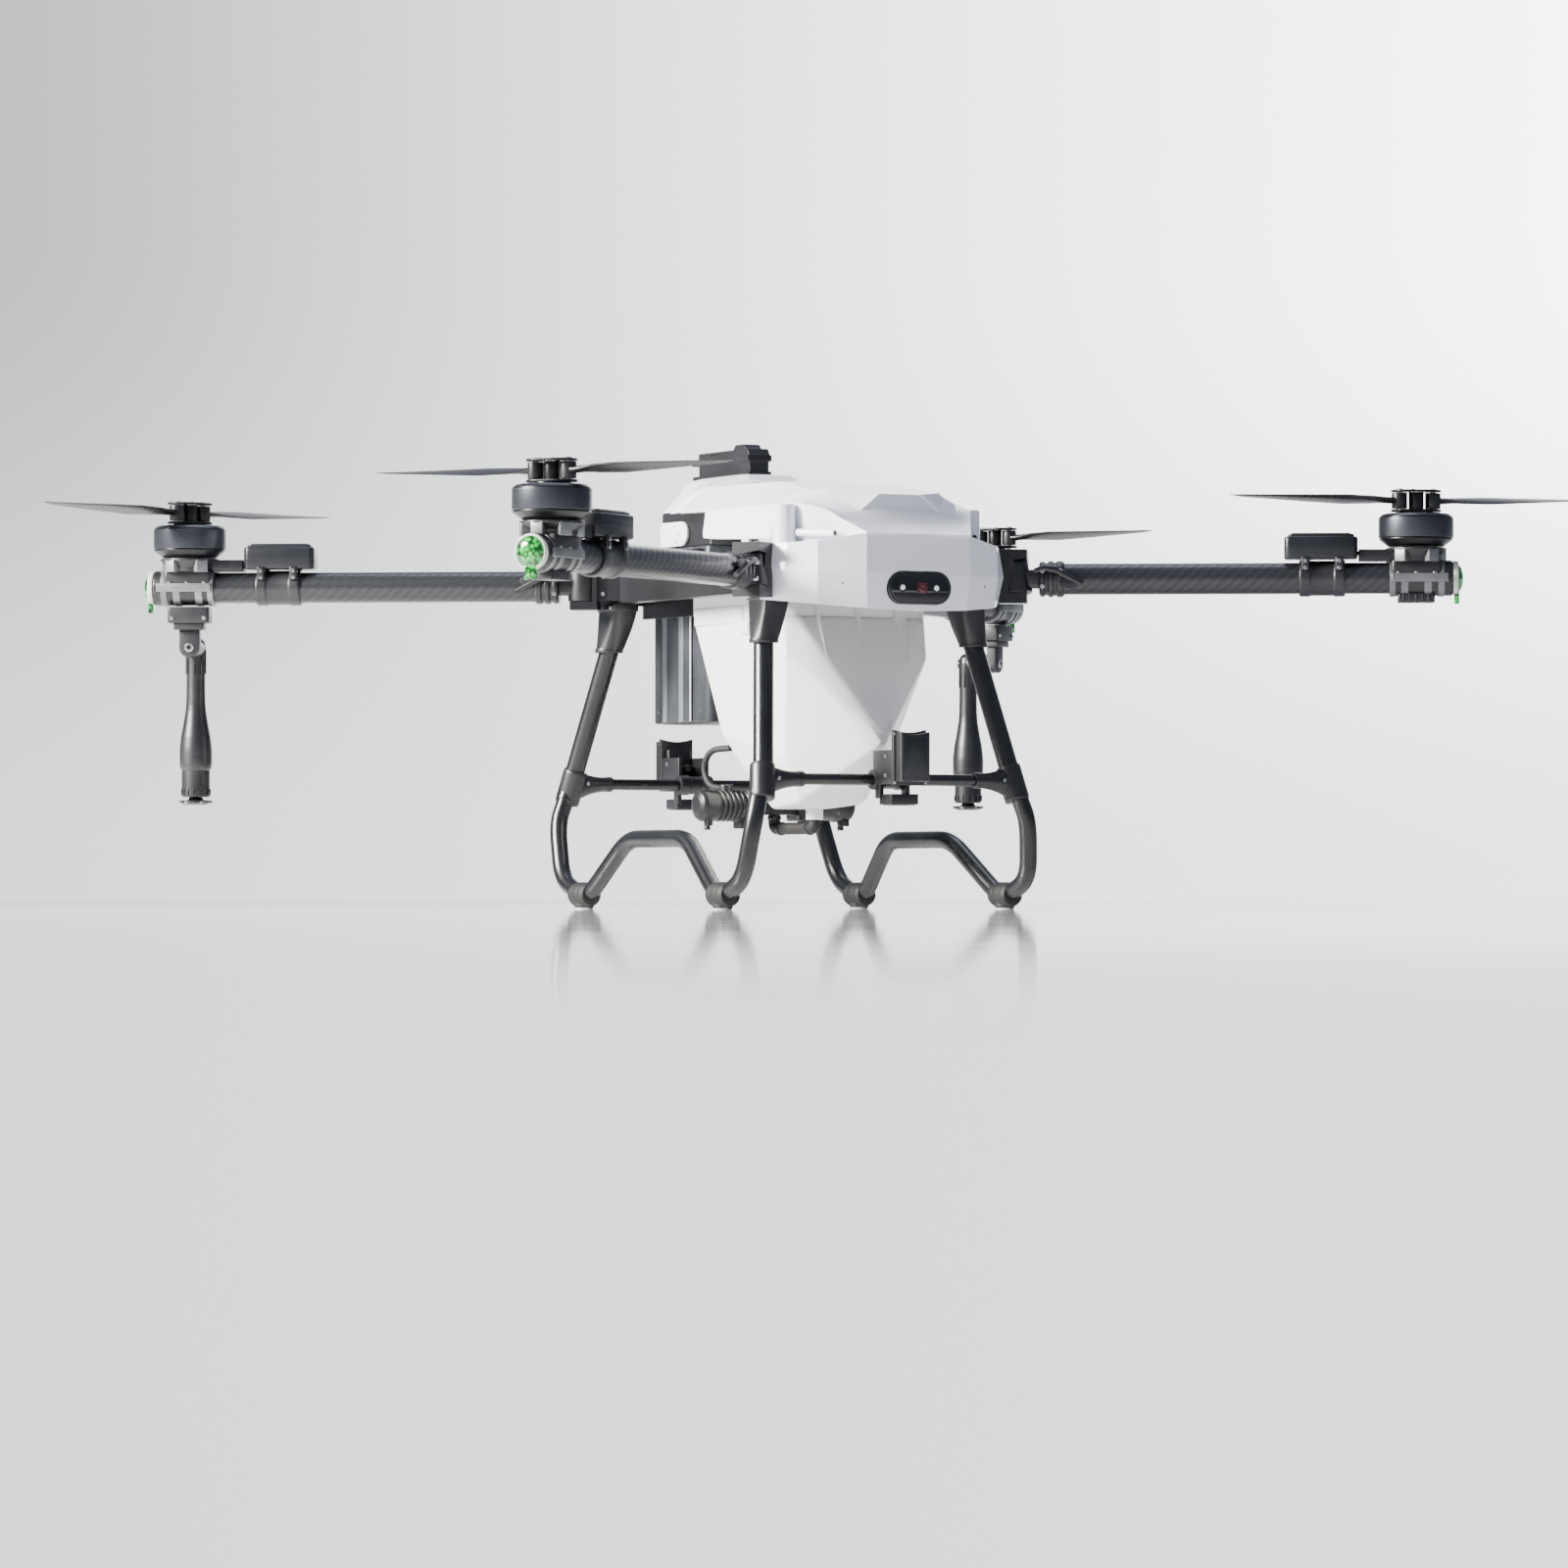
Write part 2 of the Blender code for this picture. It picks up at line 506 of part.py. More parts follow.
def radar(end):
    """A square radar on a clamp that turns round the cross tube."""
    tee = Vector(TEE_FRONT if end == "front" else TEE_REAR)
    face = 0.085
    body = box((-0.0265, -face, -0.0040), (0.0265, -face + 0.0220, 0.0740))
    join(body, box((-0.0300, -face + 0.0180, -0.0100), (0.0300, -face + 0.0260, 0.0780)))
    # dished top edge
    cut(body, moved(rod(0.120, -0.2, 0.2, 32), at((0, 0, 0.193)) @ ALONG_Y))
    # fork back to the clamp
    join(body, box((-0.0290, -face + 0.0240, -0.0080), (-0.0220, 0.0020, 0.0460)))
    join(body, box((0.0220, -face + 0.0240, -0.0080), (0.0290, 0.0020, 0.0460)))
    join(body, moved(rod(0.0165, -0.0310, 0.0310, 16), ALONG_X))
    join(body, box((-0.0255, -0.0520, -0.0400), (0.0255, -0.0130, -0.0230)))
    for side in (-1, 1):
        x0, x1 = sorted((side * 0.0205, side * 0.0275))
        join(body, box((x0, -0.0200, -0.0300), (x1, -0.0050, -0.0050)))
    cut(body, moved(rod((CROSS_R + RUNNING) / math.cos(math.pi / 12), -0.06, 0.06, 12), ALONG_X))
    if end == "rear":
        moved(body, MIRROR_Y)
    return done("radar_" + end, moved(body, at((0, tee.y, tee.z))), black, (0, tee.y, tee.z))


# ---------------------------------------------------------------- body shell, tank and battery
NOSE = [(0.095, -0.402), (0.165, -0.369), (0.221, -0.283)]


def mirrored(points):
    """The points and their mirror images across the middle plane."""
    return [(s * x, y, z) for x, y, z in points for s in ((-1, 1) if x else (1,))]


def bumper(shrink=0.0, low=0.0):
    """The nose below the cover; shrunk by a wall and run on below and behind, it is the room inside."""
    k = shrink
    points = []
    for (x, y), bottom, ridge in zip(NOSE, (0.472, 0.478, 0.487), (0.592, 0.578, 0.577)):
        points += [(x - 0.002 - 0.8 * k, y + 0.005 + k, bottom - low), (x - 0.8 * k, y + k, 0.5285),
                   (x - 0.001 - 0.8 * k, y + 0.003 + k, ridge - k)]
    outer, inner = (-0.152, -0.150) if low else (-0.252, -0.200)
    points += [(0.178 - k, outer, 0.487 - low), (0.178 - k, outer, 0.590 - k),
               (0.120 - k, inner, 0.600 - k), (0.120 - k, inner, 0.480 - low)]
    return hull(mirrored(points))


def hood(shrink=0.0, low=0.0):
    """The cover from the nose to the rear; shrunk by a wall and run on below, it is the room inside."""
    k = shrink
    points = [
        (0.093 - k, -0.398 + 2 * k, 0.590 - k), (0.037, -0.343 + k, 0.652 - k), (0.100 - k, -0.290 + k, 0.664 - k),
        (0.163 - k, -0.304 + k, 0.636 - k), (0.128 - k, -0.140, 0.684 - k), (0.060, -0.120, 0.690 - k),
        (0.180 - k, -0.252 + k, 0.598 - low), (0.180 - k, 0.060, 0.598 - low), (0.172 - k, -0.285 + k, 0.600 - low),
        (0.093 - k, -0.395 + 2 * k, 0.588 - low), (0.050, 0.090, 0.7115 - k), (0.034, 0.306 - k, 0.7115 - k),
        (0.050, 0.306 - k, 0.696 - k), (0.110 - k, 0.120, 0.690 - k), (0.084 - k, 0.306 - k, 0.650 - k),
        (0.150 - k, 0.150, 0.650 - k), (0.150 - k, 0.150, 0.598 - low), (0.100 - k, 0.306 - k, 0.598 - low)]
    return hull(mirrored(points))


def rear_cut():
    """The room the battery needs in the cover."""
    side = BATTERY_X + 0.0015
    return box((-side, BATTERY_FRONT - 0.0015, 0.40), (side, 0.40, 0.80))


def shell():
    cover = bumper()
    upper = hood()
    # the hollow that the corner post stands in
    for side in (-1, 1):
        pocket = hull([(side * x, y, z) for x, y, z in (
            (0.097, -0.4040, 0.5800), (0.097, -0.4040, 0.5910), (0.230, -0.4040, 0.5800), (0.230, -0.4040, 0.6500),
            (0.138, -0.3200, 0.6360), (0.150, -0.3200, 0.5800), (0.150, -0.2550, 0.5800), (0.166, -0.2550, 0.6340),
            (0.230, -0.2550, 0.5800), (0.230, -0.2550, 0.6500))])
        cut(upper, pocket)
    join(cover, upper)
    for side in (-1, 1):
        join(cover, moved(rod(0.0178, 0.570, 0.6400, 20), at((side * 0.1700, -0.2710, 0))))
    cut(cover, bumper(SHELL_WALL, 0.03))
    cut(cover, hood(SHELL_WALL, 0.03))
    for side in (-1, 1):
        x0, x1 = sorted((side * (BEAM_IN + 0.001), side * 0.1775))
        join(cover, box((x0, -0.170, BEAM_TOP + GAP), (x1, -0.145, 0.6100)))
    cut(cover, rear_cut())
    # room for the frame, its hinge stubs and the arch over each rear side
    cut(cover, box((-0.1775, 0.010, 0.40), (0.1775, 0.40, 0.597)))
    for side in (-1, 1):
        arch = hull([(side * x, y, z) for x in (0.100, 0.300)
                     for y, z in ((-0.022, 0.50), (-0.002, 0.645), (0.40, 0.645), (0.40, 0.50))])
        cut(cover, arch)
    for name in ("fl", "fr"):
        _, place, _ = corner(name)
        cut(cover, moved(box((-0.10, -0.0180, -0.0260), (0.02, 0.0180, 0.0290)), place))
        cut(cover, moved(box((-0.0266, -0.0250, -0.0500), (0.05, 0.0250, 0.0480)), place))
    # camera window, filler opening, a vent in the nose
    cut(cover, pill(0.0580, 0.0260, -0.50, -0.36))
    cut(cover, moved(rod(NECK_R + 0.0150, 0.64, 0.75, 28), at((0, NECK_Y, 0))))
    lid_x = NECK_R + 0.0060
    cut(cover, box((-lid_x, NECK_Y, 0.65), (lid_x, NECK_Y + NECK_R + 0.0320, 0.75)))
    cut(cover, moved(rod(0.0016, 0.0, 0.08, 8), at((-0.131, -0.42, 0.5120)) @ ALONG_Y))
    return done("shell", cover, white)


def pill(half_x, half_z, y0, y1, centre=0.5065):
    """A long window with fully rounded ends, standing across the nose."""
    ends = [(s * (half_x - half_z) + half_z * math.cos(t), half_z * math.sin(t))
            for s, first in ((1, -90), (-1, 90)) for t in np.radians(np.arange(first, first + 181, 22.5))]
    return moved(prism(ends, -y1, -y0), at((0, 0, centre)) @ Matrix.Rotation(math.pi / 2, 4, "X"))


def camera_window():
    window = pill(0.0577, 0.0257, -0.4005, -0.3880)
    return done("camera_window", window, glass)


# one side's corners: straight walls down to a waist, then a front that runs out to a prow on the middle line
TANK_TOP = [(0.1325, -0.1950, 0.5700), (0.1150, -0.2110, 0.5700), (0.1325, 0.1000, 0.5700)]
TANK_WAIST = [(0.1325, -0.1950, 0.4700), (0.1150, -0.2110, 0.4700), (0.1325, 0.1000, 0.4750)]
TANK_LOW = [
    (0.1325, -0.2040, 0.4050), (0.1000, -0.1440, 0.2500), (0.0600, -0.1250, 0.1700), (0.0, -0.1250, 0.1620),
    (0.1180, 0.0950, 0.4450), (0.0960, 0.0680, 0.2850), (0.0620, 0.0260, 0.2050), (0.0450, -0.0100, 0.1620)]
TANK_MIDDLE = (0.0, -0.060, 0.400)


def tank_hulls(wall=0.0):
    """The tank's outside, or its hollow when wall is given: the straight top joined to the tapering lower part."""
    def inside(points):
        return [(max(x - wall, 0.0), y + wall * (1 if y < 0 else -1), z + wall * (1 if z < 0.40 else -1))
                for x, y, z in points]
    prow = (TANK_PROW[0], TANK_PROW[1] + 2.5 * wall, TANK_PROW[2] + wall)
    top = hull(mirrored(inside(TANK_TOP + TANK_WAIST)) + [TANK_MIDDLE])
    return join(top, hull(mirrored(inside(TANK_WAIST + TANK_LOW)) + [prow]))


def tank():
    body = tank_hulls()
    join(body, moved(rod(NECK_R, 0.560, 0.6640, 28), at((0, NECK_Y, 0))))
    # a moulded rib that runs out down the front
    join(body, hull([(x, y, 0.4660) for x in (0.068, 0.084) for y in (-0.2080, -0.2155)]
                    + [(0.076, -0.2250, 0.4120), (0.076, -0.2370, 0.4140)]))
    join(body, moved(rod(0.0140, 0.1450, 0.1700, 16), at((0, -0.070, 0))))
    # lugs that rest on the side beams
    for y in (-0.120, 0.050):
        for side in (-1, 1):
            x0, x1 = sorted((side * 0.1250, side * (BEAM_OUT - 0.006)))
            join(body, box((x0, y - 0.018, BEAM_TOP + GAP), (x1, y + 0.018, BEAM_TOP + 0.0080)))
    cut(body, tank_hulls(TANK_WALL))
    cut(body, moved(rod(NECK_R - TANK_WALL, 0.50, 0.70, 28), at((0, NECK_Y, 0))))
    cut(body, moved(rod(0.0100, 0.10, 0.20, 16), at((0, -0.070, 0))))
    return done("tank", body, milky)


def tank_lid():
    lid = moved(rod(NECK_R + 0.0040, 0.6644, 0.6740, 28), at((0, NECK_Y, 0)))
    join(lid, moved(rod(0.0300, 0.6730, 0.6790, 20), at((0, NECK_Y, 0))))
    join(lid, box((-0.0150, NECK_Y + NECK_R - 0.004, 0.6650), (0.0150, NECK_Y + NECK_R + 0.0100, 0.6740)))
    return done("tank_lid", lid, black, (0, NECK_Y + NECK_R + 0.0100, 0.6640))


def battery():
    bevel = 0.012
    plan = [(-BATTERY_X, BATTERY_FRONT), (BATTERY_X, BATTERY_FRONT), (BATTERY_X, BATTERY_REAR - bevel),
            (BATTERY_X - bevel, BATTERY_REAR), (-BATTERY_X + bevel, BATTERY_REAR), (-BATTERY_X, BATTERY_REAR - bevel)]
    body = prism(plan, BATTERY_BOTTOM, 0.5950)
    cut(body, box((-0.2, 0.05, 0.25), (0.2, 0.170, BATTERY_BOTTOM + 0.007)))
    for side in (-1, 1):
        for y in (0.212, 0.262):
            cut(body, box((side * BATTERY_X - 0.003, y, 0.25), (side * BATTERY_X + 0.003, y + 0.004, 0.60)))
    done("battery", body, battery_grey)
    cap = hood()
    cut(cap, box((-0.3, -0.5, 0.3), (0.3, BATTERY_FRONT, 0.8)))
    cut(cap, box((BATTERY_X, -0.5, 0.3), (0.3, 0.5, 0.8)))
    cut(cap, box((-0.3, -0.5, 0.3), (-BATTERY_X, 0.5, 0.8)))
    cut(cap, box((-0.3, BATTERY_REAR, 0.3), (0.3, 0.5, 0.8)))
    cut(cap, box((-0.3, -0.5, 0.3), (0.3, 0.5, 0.5953)))
    done("battery_cap", cap, white)
    grip = box((-0.0215, 0.1090, 0.7118), (0.0215, 0.3000, 0.7180))
    join(grip, box((-0.0180, 0.1120, 0.7170), (0.0180, 0.2850, 0.7380)))
    join(grip, box((-0.0225, 0.1100, 0.7350), (0.0225, 0.3020, 0.7450)))
    join(grip, hull([(x, y, z) for x in (-0.0200, 0.0200)
                     for y, z in ((0.110, 0.744), (0.250, 0.744), (0.118, 0.7560), (0.240, 0.7500))]))
    join(grip, box((-0.0160, 0.2500, 0.7440), (0.0160, 0.2900, 0.7560)))
    join(grip, box((-0.0160, 0.1800, 0.7515), (0.0160, 0.2860, 0.7560)))
    join(grip, hull([(x, y, z) for x in (-0.0150, 0.0150)
                     for y, z in ((0.128, 0.754), (0.176, 0.754), (0.138, 0.7640), (0.166, 0.7640))]))
    return done("battery_handle", grip, black)


def flight_controller():
    case = hull(mirrored([(x, y, z) for x, z in ((0.050, 0.5123), (0.050, 0.545), (0.044, 0.552))
                          for y in (-0.295, -0.220)]))
    return done("flight_controller", case, gunmetal)


# ---------------------------------------------------------------- pumps
PUMP_X, PUMP_Y, PUMP_Z = 0.1000, 0.0620, 0.1686


def pump(side):
    ribs = [(0, 0.040), (0.020, 0.040), (0.0255, 0.045)]
    for n in range(3):
        x = 0.056 + 0.022 * n
        ribs += [(0.0262, x), (0.0262, x + 0.010), (0.0225, x + 0.0125), (0.0225, x + 0.0185)]
    ribs += [(0.0262, 0.122), (0.0262, 0.138), (0.018, 0.146), (0.0, 0.146)]
    body = moved(lathe(ribs, 12), at((0, PUMP_Y, PUMP_Z)) @ ALONG_X)
    join(body, moved(rod(0.0055, -0.040, -0.010, 10), at((0.125, PUMP_Y, PUMP_Z))))
    join(body, moved(rod(0.0110, 0.010, 0.0350, 12), at((0.090, PUMP_Y, PUMP_Z))))
    join(body, box((0.050, PUMP_Y - 0.014, PUMP_Z - 0.0380), (0.070, PUMP_Y + 0.014, PUMP_Z - 0.010)))
    if side < 0:
        moved(body, MIRROR_X)
    return done("pump_" + ("l" if side > 0 else "r"), body, black)


def manifold():
    """The block between the two pumps and the pipe that feeds it from the tank outlet."""
    block = box((-0.0397, PUMP_Y - 0.0140, PUMP_Z - 0.0150), (0.0397, PUMP_Y + 0.0140, PUMP_Z + 0.0150))
    low = 0.1310
    run = [(0, PUMP_Y, PUMP_Z), (0, PUMP_Y, low), (0, -0.0700, low), (0, -0.0700, 0.1447)]
    feed = pipe(rounded(run, 0.0125, 3), 0.0100, 3)
    join(block, feed)
    return done("pump_manifold", block, black)


center_frame()
for corner_name in CORNERS:
    hinge_block(corner_name)
    arm(corner_name)
    motor_mount(corner_name)
    esc(corner_name)
    tip_light(corner_name)
    rotor(corner_name)
    blade(corner_name, "a")
    blade(corner_name, "b")
    leg_upper(corner_name)
    if CORNERS[corner_name][1] > 0:
        nozzle(corner_name)
for one in (-1, 1):
    side_rail(one)
    pump(one)
for one in ("front", "rear"):
    cross_tube(one)
    radar(one)
shell()
camera_window()
tank()
tank_lid()
battery()
flight_controller()
manifold()
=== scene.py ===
"""The looks of an agricultural spray drone, built round its fixed frame, from the arm tips in to the body."""

import json
import math

import bmesh
import bpy
import numpy as np
from mathutils import Matrix, Vector


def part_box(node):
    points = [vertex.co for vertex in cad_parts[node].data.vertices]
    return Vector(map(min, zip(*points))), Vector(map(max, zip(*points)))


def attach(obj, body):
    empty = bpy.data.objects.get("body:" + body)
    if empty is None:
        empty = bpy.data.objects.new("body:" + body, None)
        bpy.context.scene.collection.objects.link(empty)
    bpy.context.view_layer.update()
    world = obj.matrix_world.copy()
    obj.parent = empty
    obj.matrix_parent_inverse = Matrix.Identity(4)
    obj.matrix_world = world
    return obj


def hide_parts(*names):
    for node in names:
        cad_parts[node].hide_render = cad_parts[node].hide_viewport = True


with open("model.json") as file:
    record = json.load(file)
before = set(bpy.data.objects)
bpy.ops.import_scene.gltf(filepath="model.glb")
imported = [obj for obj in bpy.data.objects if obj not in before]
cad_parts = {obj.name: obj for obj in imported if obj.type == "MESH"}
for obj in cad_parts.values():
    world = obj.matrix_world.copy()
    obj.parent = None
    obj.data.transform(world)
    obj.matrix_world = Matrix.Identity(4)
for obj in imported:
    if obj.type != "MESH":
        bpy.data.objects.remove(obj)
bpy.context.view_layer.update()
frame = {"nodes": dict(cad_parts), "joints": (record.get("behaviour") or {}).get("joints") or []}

# ======================================================================== camera
# A long lens a hand's breadth above the ground, off the nose to the right-hand side.
LENS_MM = 152.06
view_turn = math.radians(29.616)
camera_data = bpy.data.cameras.new("camera")
camera = bpy.data.objects.new("camera", camera_data)
bpy.context.scene.collection.objects.link(camera)
bpy.context.scene.camera = camera
camera.location = (-5.3247, -9.3668, 0.0303)
camera.rotation_euler = (math.pi / 2, 0, -view_turn)
camera_data.lens = LENS_MM
camera_data.sensor_width = 36.0
camera_data.clip_end = 200.0
camera_data.shift_x = -0.0057
camera_data.shift_y = 0.0679

# ======================================================================== arms
# Roll-wrapped carbon tubes, 50 mm across with a 2.5 mm wall, bonded into a cast root that turns on the hinge
# pin. A clamp collar and an over-centre latch lock the unfolded arm, and the tube's outer ply is wound as a
# slanting tape, so its edges run round the tube as a spiral.
joints = {joint["name"]: joint for joint in frame["joints"]}
CORNERS = ("fl", "fr", "rl", "rr")
TUBE_R = 0.025
TAPE_STARTS, TAPE_PITCH, FIBRE_PITCH = 9, 0.0175, 0.0016


def linear(code):
    """A colour's sRGB hex code as linear RGBA: each channel c becomes ((c + 0.055) / 1.055) ^ 2.4."""
    channels = np.array([int(code[i:i + 2], 16) for i in (1, 3, 5)]) / 255
    return (*np.where(channels < 0.0405, channels / 12.92, ((channels + 0.055) / 1.055) ** 2.4), 1)


def add(look, kind, settings=(), sockets=()):
    """One node in a look: settings are its own properties, sockets its inputs as values or other outputs."""
    node = look.node_tree.nodes.new(kind)
    for key, value in dict(settings).items():
        setattr(node, key, value)
    for key, value in dict(sockets).items():
        if isinstance(value, bpy.types.NodeSocket):
            look.node_tree.links.new(value, node.inputs[key])
        else:
            node.inputs[key].default_value = value
    return node


def new_look(name, **constants):
    """A material with one Principled shader whose constant sockets are set here. Returns the look, the shader
    and the texture coordinates."""
    look = bpy.data.materials.new(name)
    look.use_nodes = True
    shader = look.node_tree.nodes["Principled BSDF"]
    for key, value in constants.items():
        shader.inputs[key.replace("_", " ")].default_value = value
    place = add(look, "ShaderNodeTexCoord")
    return look, shader, place


def wire(look, output, shader, socket):
    look.node_tree.links.new(output, shader.inputs[socket])


def eased(points, radius, steps=4):
    """A polyline whose inner corners are turned on arcs: each corner p becomes the quadratic curve from
    p + r*a to p + r*b, with a and b the unit directions to its neighbours."""
    points = np.asarray(points, float)
    before, here, after = points[:-2], points[1:-1], points[2:]
    a, b = before - here, after - here
    la, lb = (np.linalg.norm(v, axis=1, keepdims=True) for v in (a, b))
    start = here + a / la * np.minimum(radius, 0.45 * la)
    end = here + b / lb * np.minimum(radius, 0.45 * lb)
    t = np.linspace(0, 1, steps + 1)[None, :, None]
    bends = (1 - t) ** 2 * start[:, None] + 2 * t * (1 - t) * here[:, None] + t ** 2 * end[:, None]
    return np.concatenate([points[:1], bends.reshape(-1, points.shape[1]), points[-1:]])


def skin(grid, around=True, capped=False):
    """Points and quads of a surface given as grid[row, column]; around joins the last column to the first,
    capped draws both end rows in to their own middle."""
    if capped:
        middle = grid.mean(axis=1, keepdims=True)
        ends = np.broadcast_to(middle, grid.shape)
        grid = np.concatenate([ends[:1], grid, ends[-1:]])
    rows, columns = grid.shape[:2]
    i, j = np.meshgrid(np.arange(rows - 1), np.arange(columns if around else columns - 1), indexing="ij")
    k = (j + 1) % columns
    quads = np.stack([i * columns + j, i * columns + k, (i + 1) * columns + k, (i + 1) * columns + j], -1)
    return grid.reshape(-1, 3), quads.reshape(-1, 4)


def turned(profile, steps=48):
    """A profile of (radius, height) turned about Z: (r cos t, r sin t, h), t running once round."""
    t = np.linspace(0, 2 * math.pi, steps, endpoint=False)
    r, h = np.asarray(profile, float).T
    grid = np.stack([np.outer(r, np.cos(t)), np.outer(r, np.sin(t)), np.outer(h, np.ones_like(t))], -1)
    return skin(grid)


def swept(path, radius, sides=20, across=(0, 0, 1)):
    """A circle carried along a path: p + r*(u cos t + v sin t), where v is square to the path and to across,
    and u to both."""
    path = np.asarray(path, float)
    along = np.gradient(path, axis=0)
    along /= np.linalg.norm(along, axis=1, keepdims=True)
    v = np.cross(along, np.asarray(across, float))
    v /= np.linalg.norm(v, axis=1, keepdims=True)
    u = np.cross(v, along)
    t = np.linspace(0, 2 * math.pi, sides, endpoint=False)
    shape = np.stack([np.cos(t), np.sin(t)], -1)
    r = np.broadcast_to(np.asarray(radius, float), len(path))[:, None, None]
    grid = path[:, None] + r * (u[:, None] * shape[None, :, :1] + v[:, None] * shape[None, :, 1:])
    return skin(grid, True, True)


def slab(outline, low, high, ease=0.0012):
    """A closed outline in XY, thick from low to high along Z, its rims drawn in on a quarter round:
    the outline shrinks by ease * (1 - sin t) while the height falls by ease * (1 - cos t)."""
    outline = np.asarray(outline, float)
    ahead, behind = np.roll(outline, -1, 0) - outline, outline - np.roll(outline, 1, 0)
    area = np.sum(outline[:, 0] * np.roll(outline[:, 1], -1) - np.roll(outline[:, 0], -1) * outline[:, 1])
    normals = [np.stack([e[:, 1], -e[:, 0]], -1) / np.maximum(np.linalg.norm(e, axis=1, keepdims=True), 1e-9)
               for e in (ahead, behind)]
    outward = (normals[0] + normals[1]) * (1 if area > 0 else -1)
    outward /= np.maximum(np.linalg.norm(outward, axis=1, keepdims=True), 1e-9)
    t = np.linspace(0, math.pi / 2, 4)
    inset = ease * np.concatenate([1 - np.sin(t), 1 - np.sin(t[::-1])])
    height = np.concatenate([low + ease * (1 - np.cos(t)), high - ease * (1 - np.cos(t[::-1]))])
    flat = outline[None] - inset[:, None, None] * outward[None]
    grid = np.concatenate([flat, np.broadcast_to(height[:, None, None], (*flat.shape[:2], 1))], -1)
    return skin(grid, True, True)


def round_box(half_x, half_y, low, high, corner=0.004, ease=0.0015, centre=(0.0, 0.0), turns=5):
    """A box on a rounded rectangle: four quarter arcs of radius corner about its corners, rims eased."""
    t = np.radians(np.linspace(0, 90, turns))
    arcs = [np.stack([sx * (half_x - corner) + corner * np.cos(t + a),
                      sy * (half_y - corner) + corner * np.sin(t + a)], -1)
            for a, sx, sy in ((0, 1, 1), (math.pi / 2, -1, 1), (math.pi, -1, -1), (3 * math.pi / 2, 1, -1))]
    return slab(np.concatenate(arcs) + centre, low, high, ease)


def set_at(shape, matrix):
    """A shape's points through a 4 x 4 matrix."""
    points, faces = shape
    m = np.array(matrix, float)
    return points @ m[:3, :3].T + m[:3, 3], faces


def stand(origin, x=(1, 0, 0), z=(0, 0, 1)):
    """The matrix that lays local Z along z, and local X as near to x as that allows, at origin."""
    z = Vector(z).normalized()
    y = z.cross(Vector(x)).normalized()
    turn = Matrix((y.cross(z), y, z)).transposed().to_4x4()
    return Matrix.Translation(Vector(origin)) @ turn


def piece(name, shapes, looks, body, slot_name, *nodes, sharp=32.0, flat=False):
    """One object of several closed shapes. A shape may carry its look's number as a third item. Doubles are
    merged and faces turned outwards, and the object rides on body in place of the CAD nodes. flat keeps large
    faces flat by weighing the normals by area."""
    points, faces, numbers, count = [], [], [], 0
    for shape in shapes:
        points.append(shape[0])
        faces += [[i + count for i in face] for face in np.asarray(shape[1], object).tolist()]
        numbers += [shape[2] if len(shape) > 2 else 0] * len(shape[1])
        count += len(shape[0])
    mesh = bpy.data.meshes.new(name)
    mesh.from_pydata(np.concatenate(points), [], faces)
    mesh.polygons.foreach_set("material_index", numbers)
    bm = bmesh.new()
    bm.from_mesh(mesh)
    bmesh.ops.remove_doubles(bm, verts=bm.verts, dist=1e-6)
    bmesh.ops.dissolve_degenerate(bm, edges=bm.edges, dist=1e-7)
    bmesh.ops.recalc_face_normals(bm, faces=bm.faces)
    bm.to_mesh(mesh)
    bm.free()
    mesh.shade_smooth()
    mesh.set_sharp_from_angle(angle=math.radians(sharp))
    for look in looks:
        mesh.materials.append(look)
    made = bpy.data.objects.new(name, mesh)
    bpy.context.scene.collection.objects.link(made)
    if flat:
        weigh = made.modifiers.new("weigh", "WEIGHTED_NORMAL")
        weigh.keep_sharp, weigh.weight = True, 90
    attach(made, body)
    if nodes:
        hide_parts(*nodes)
    return made


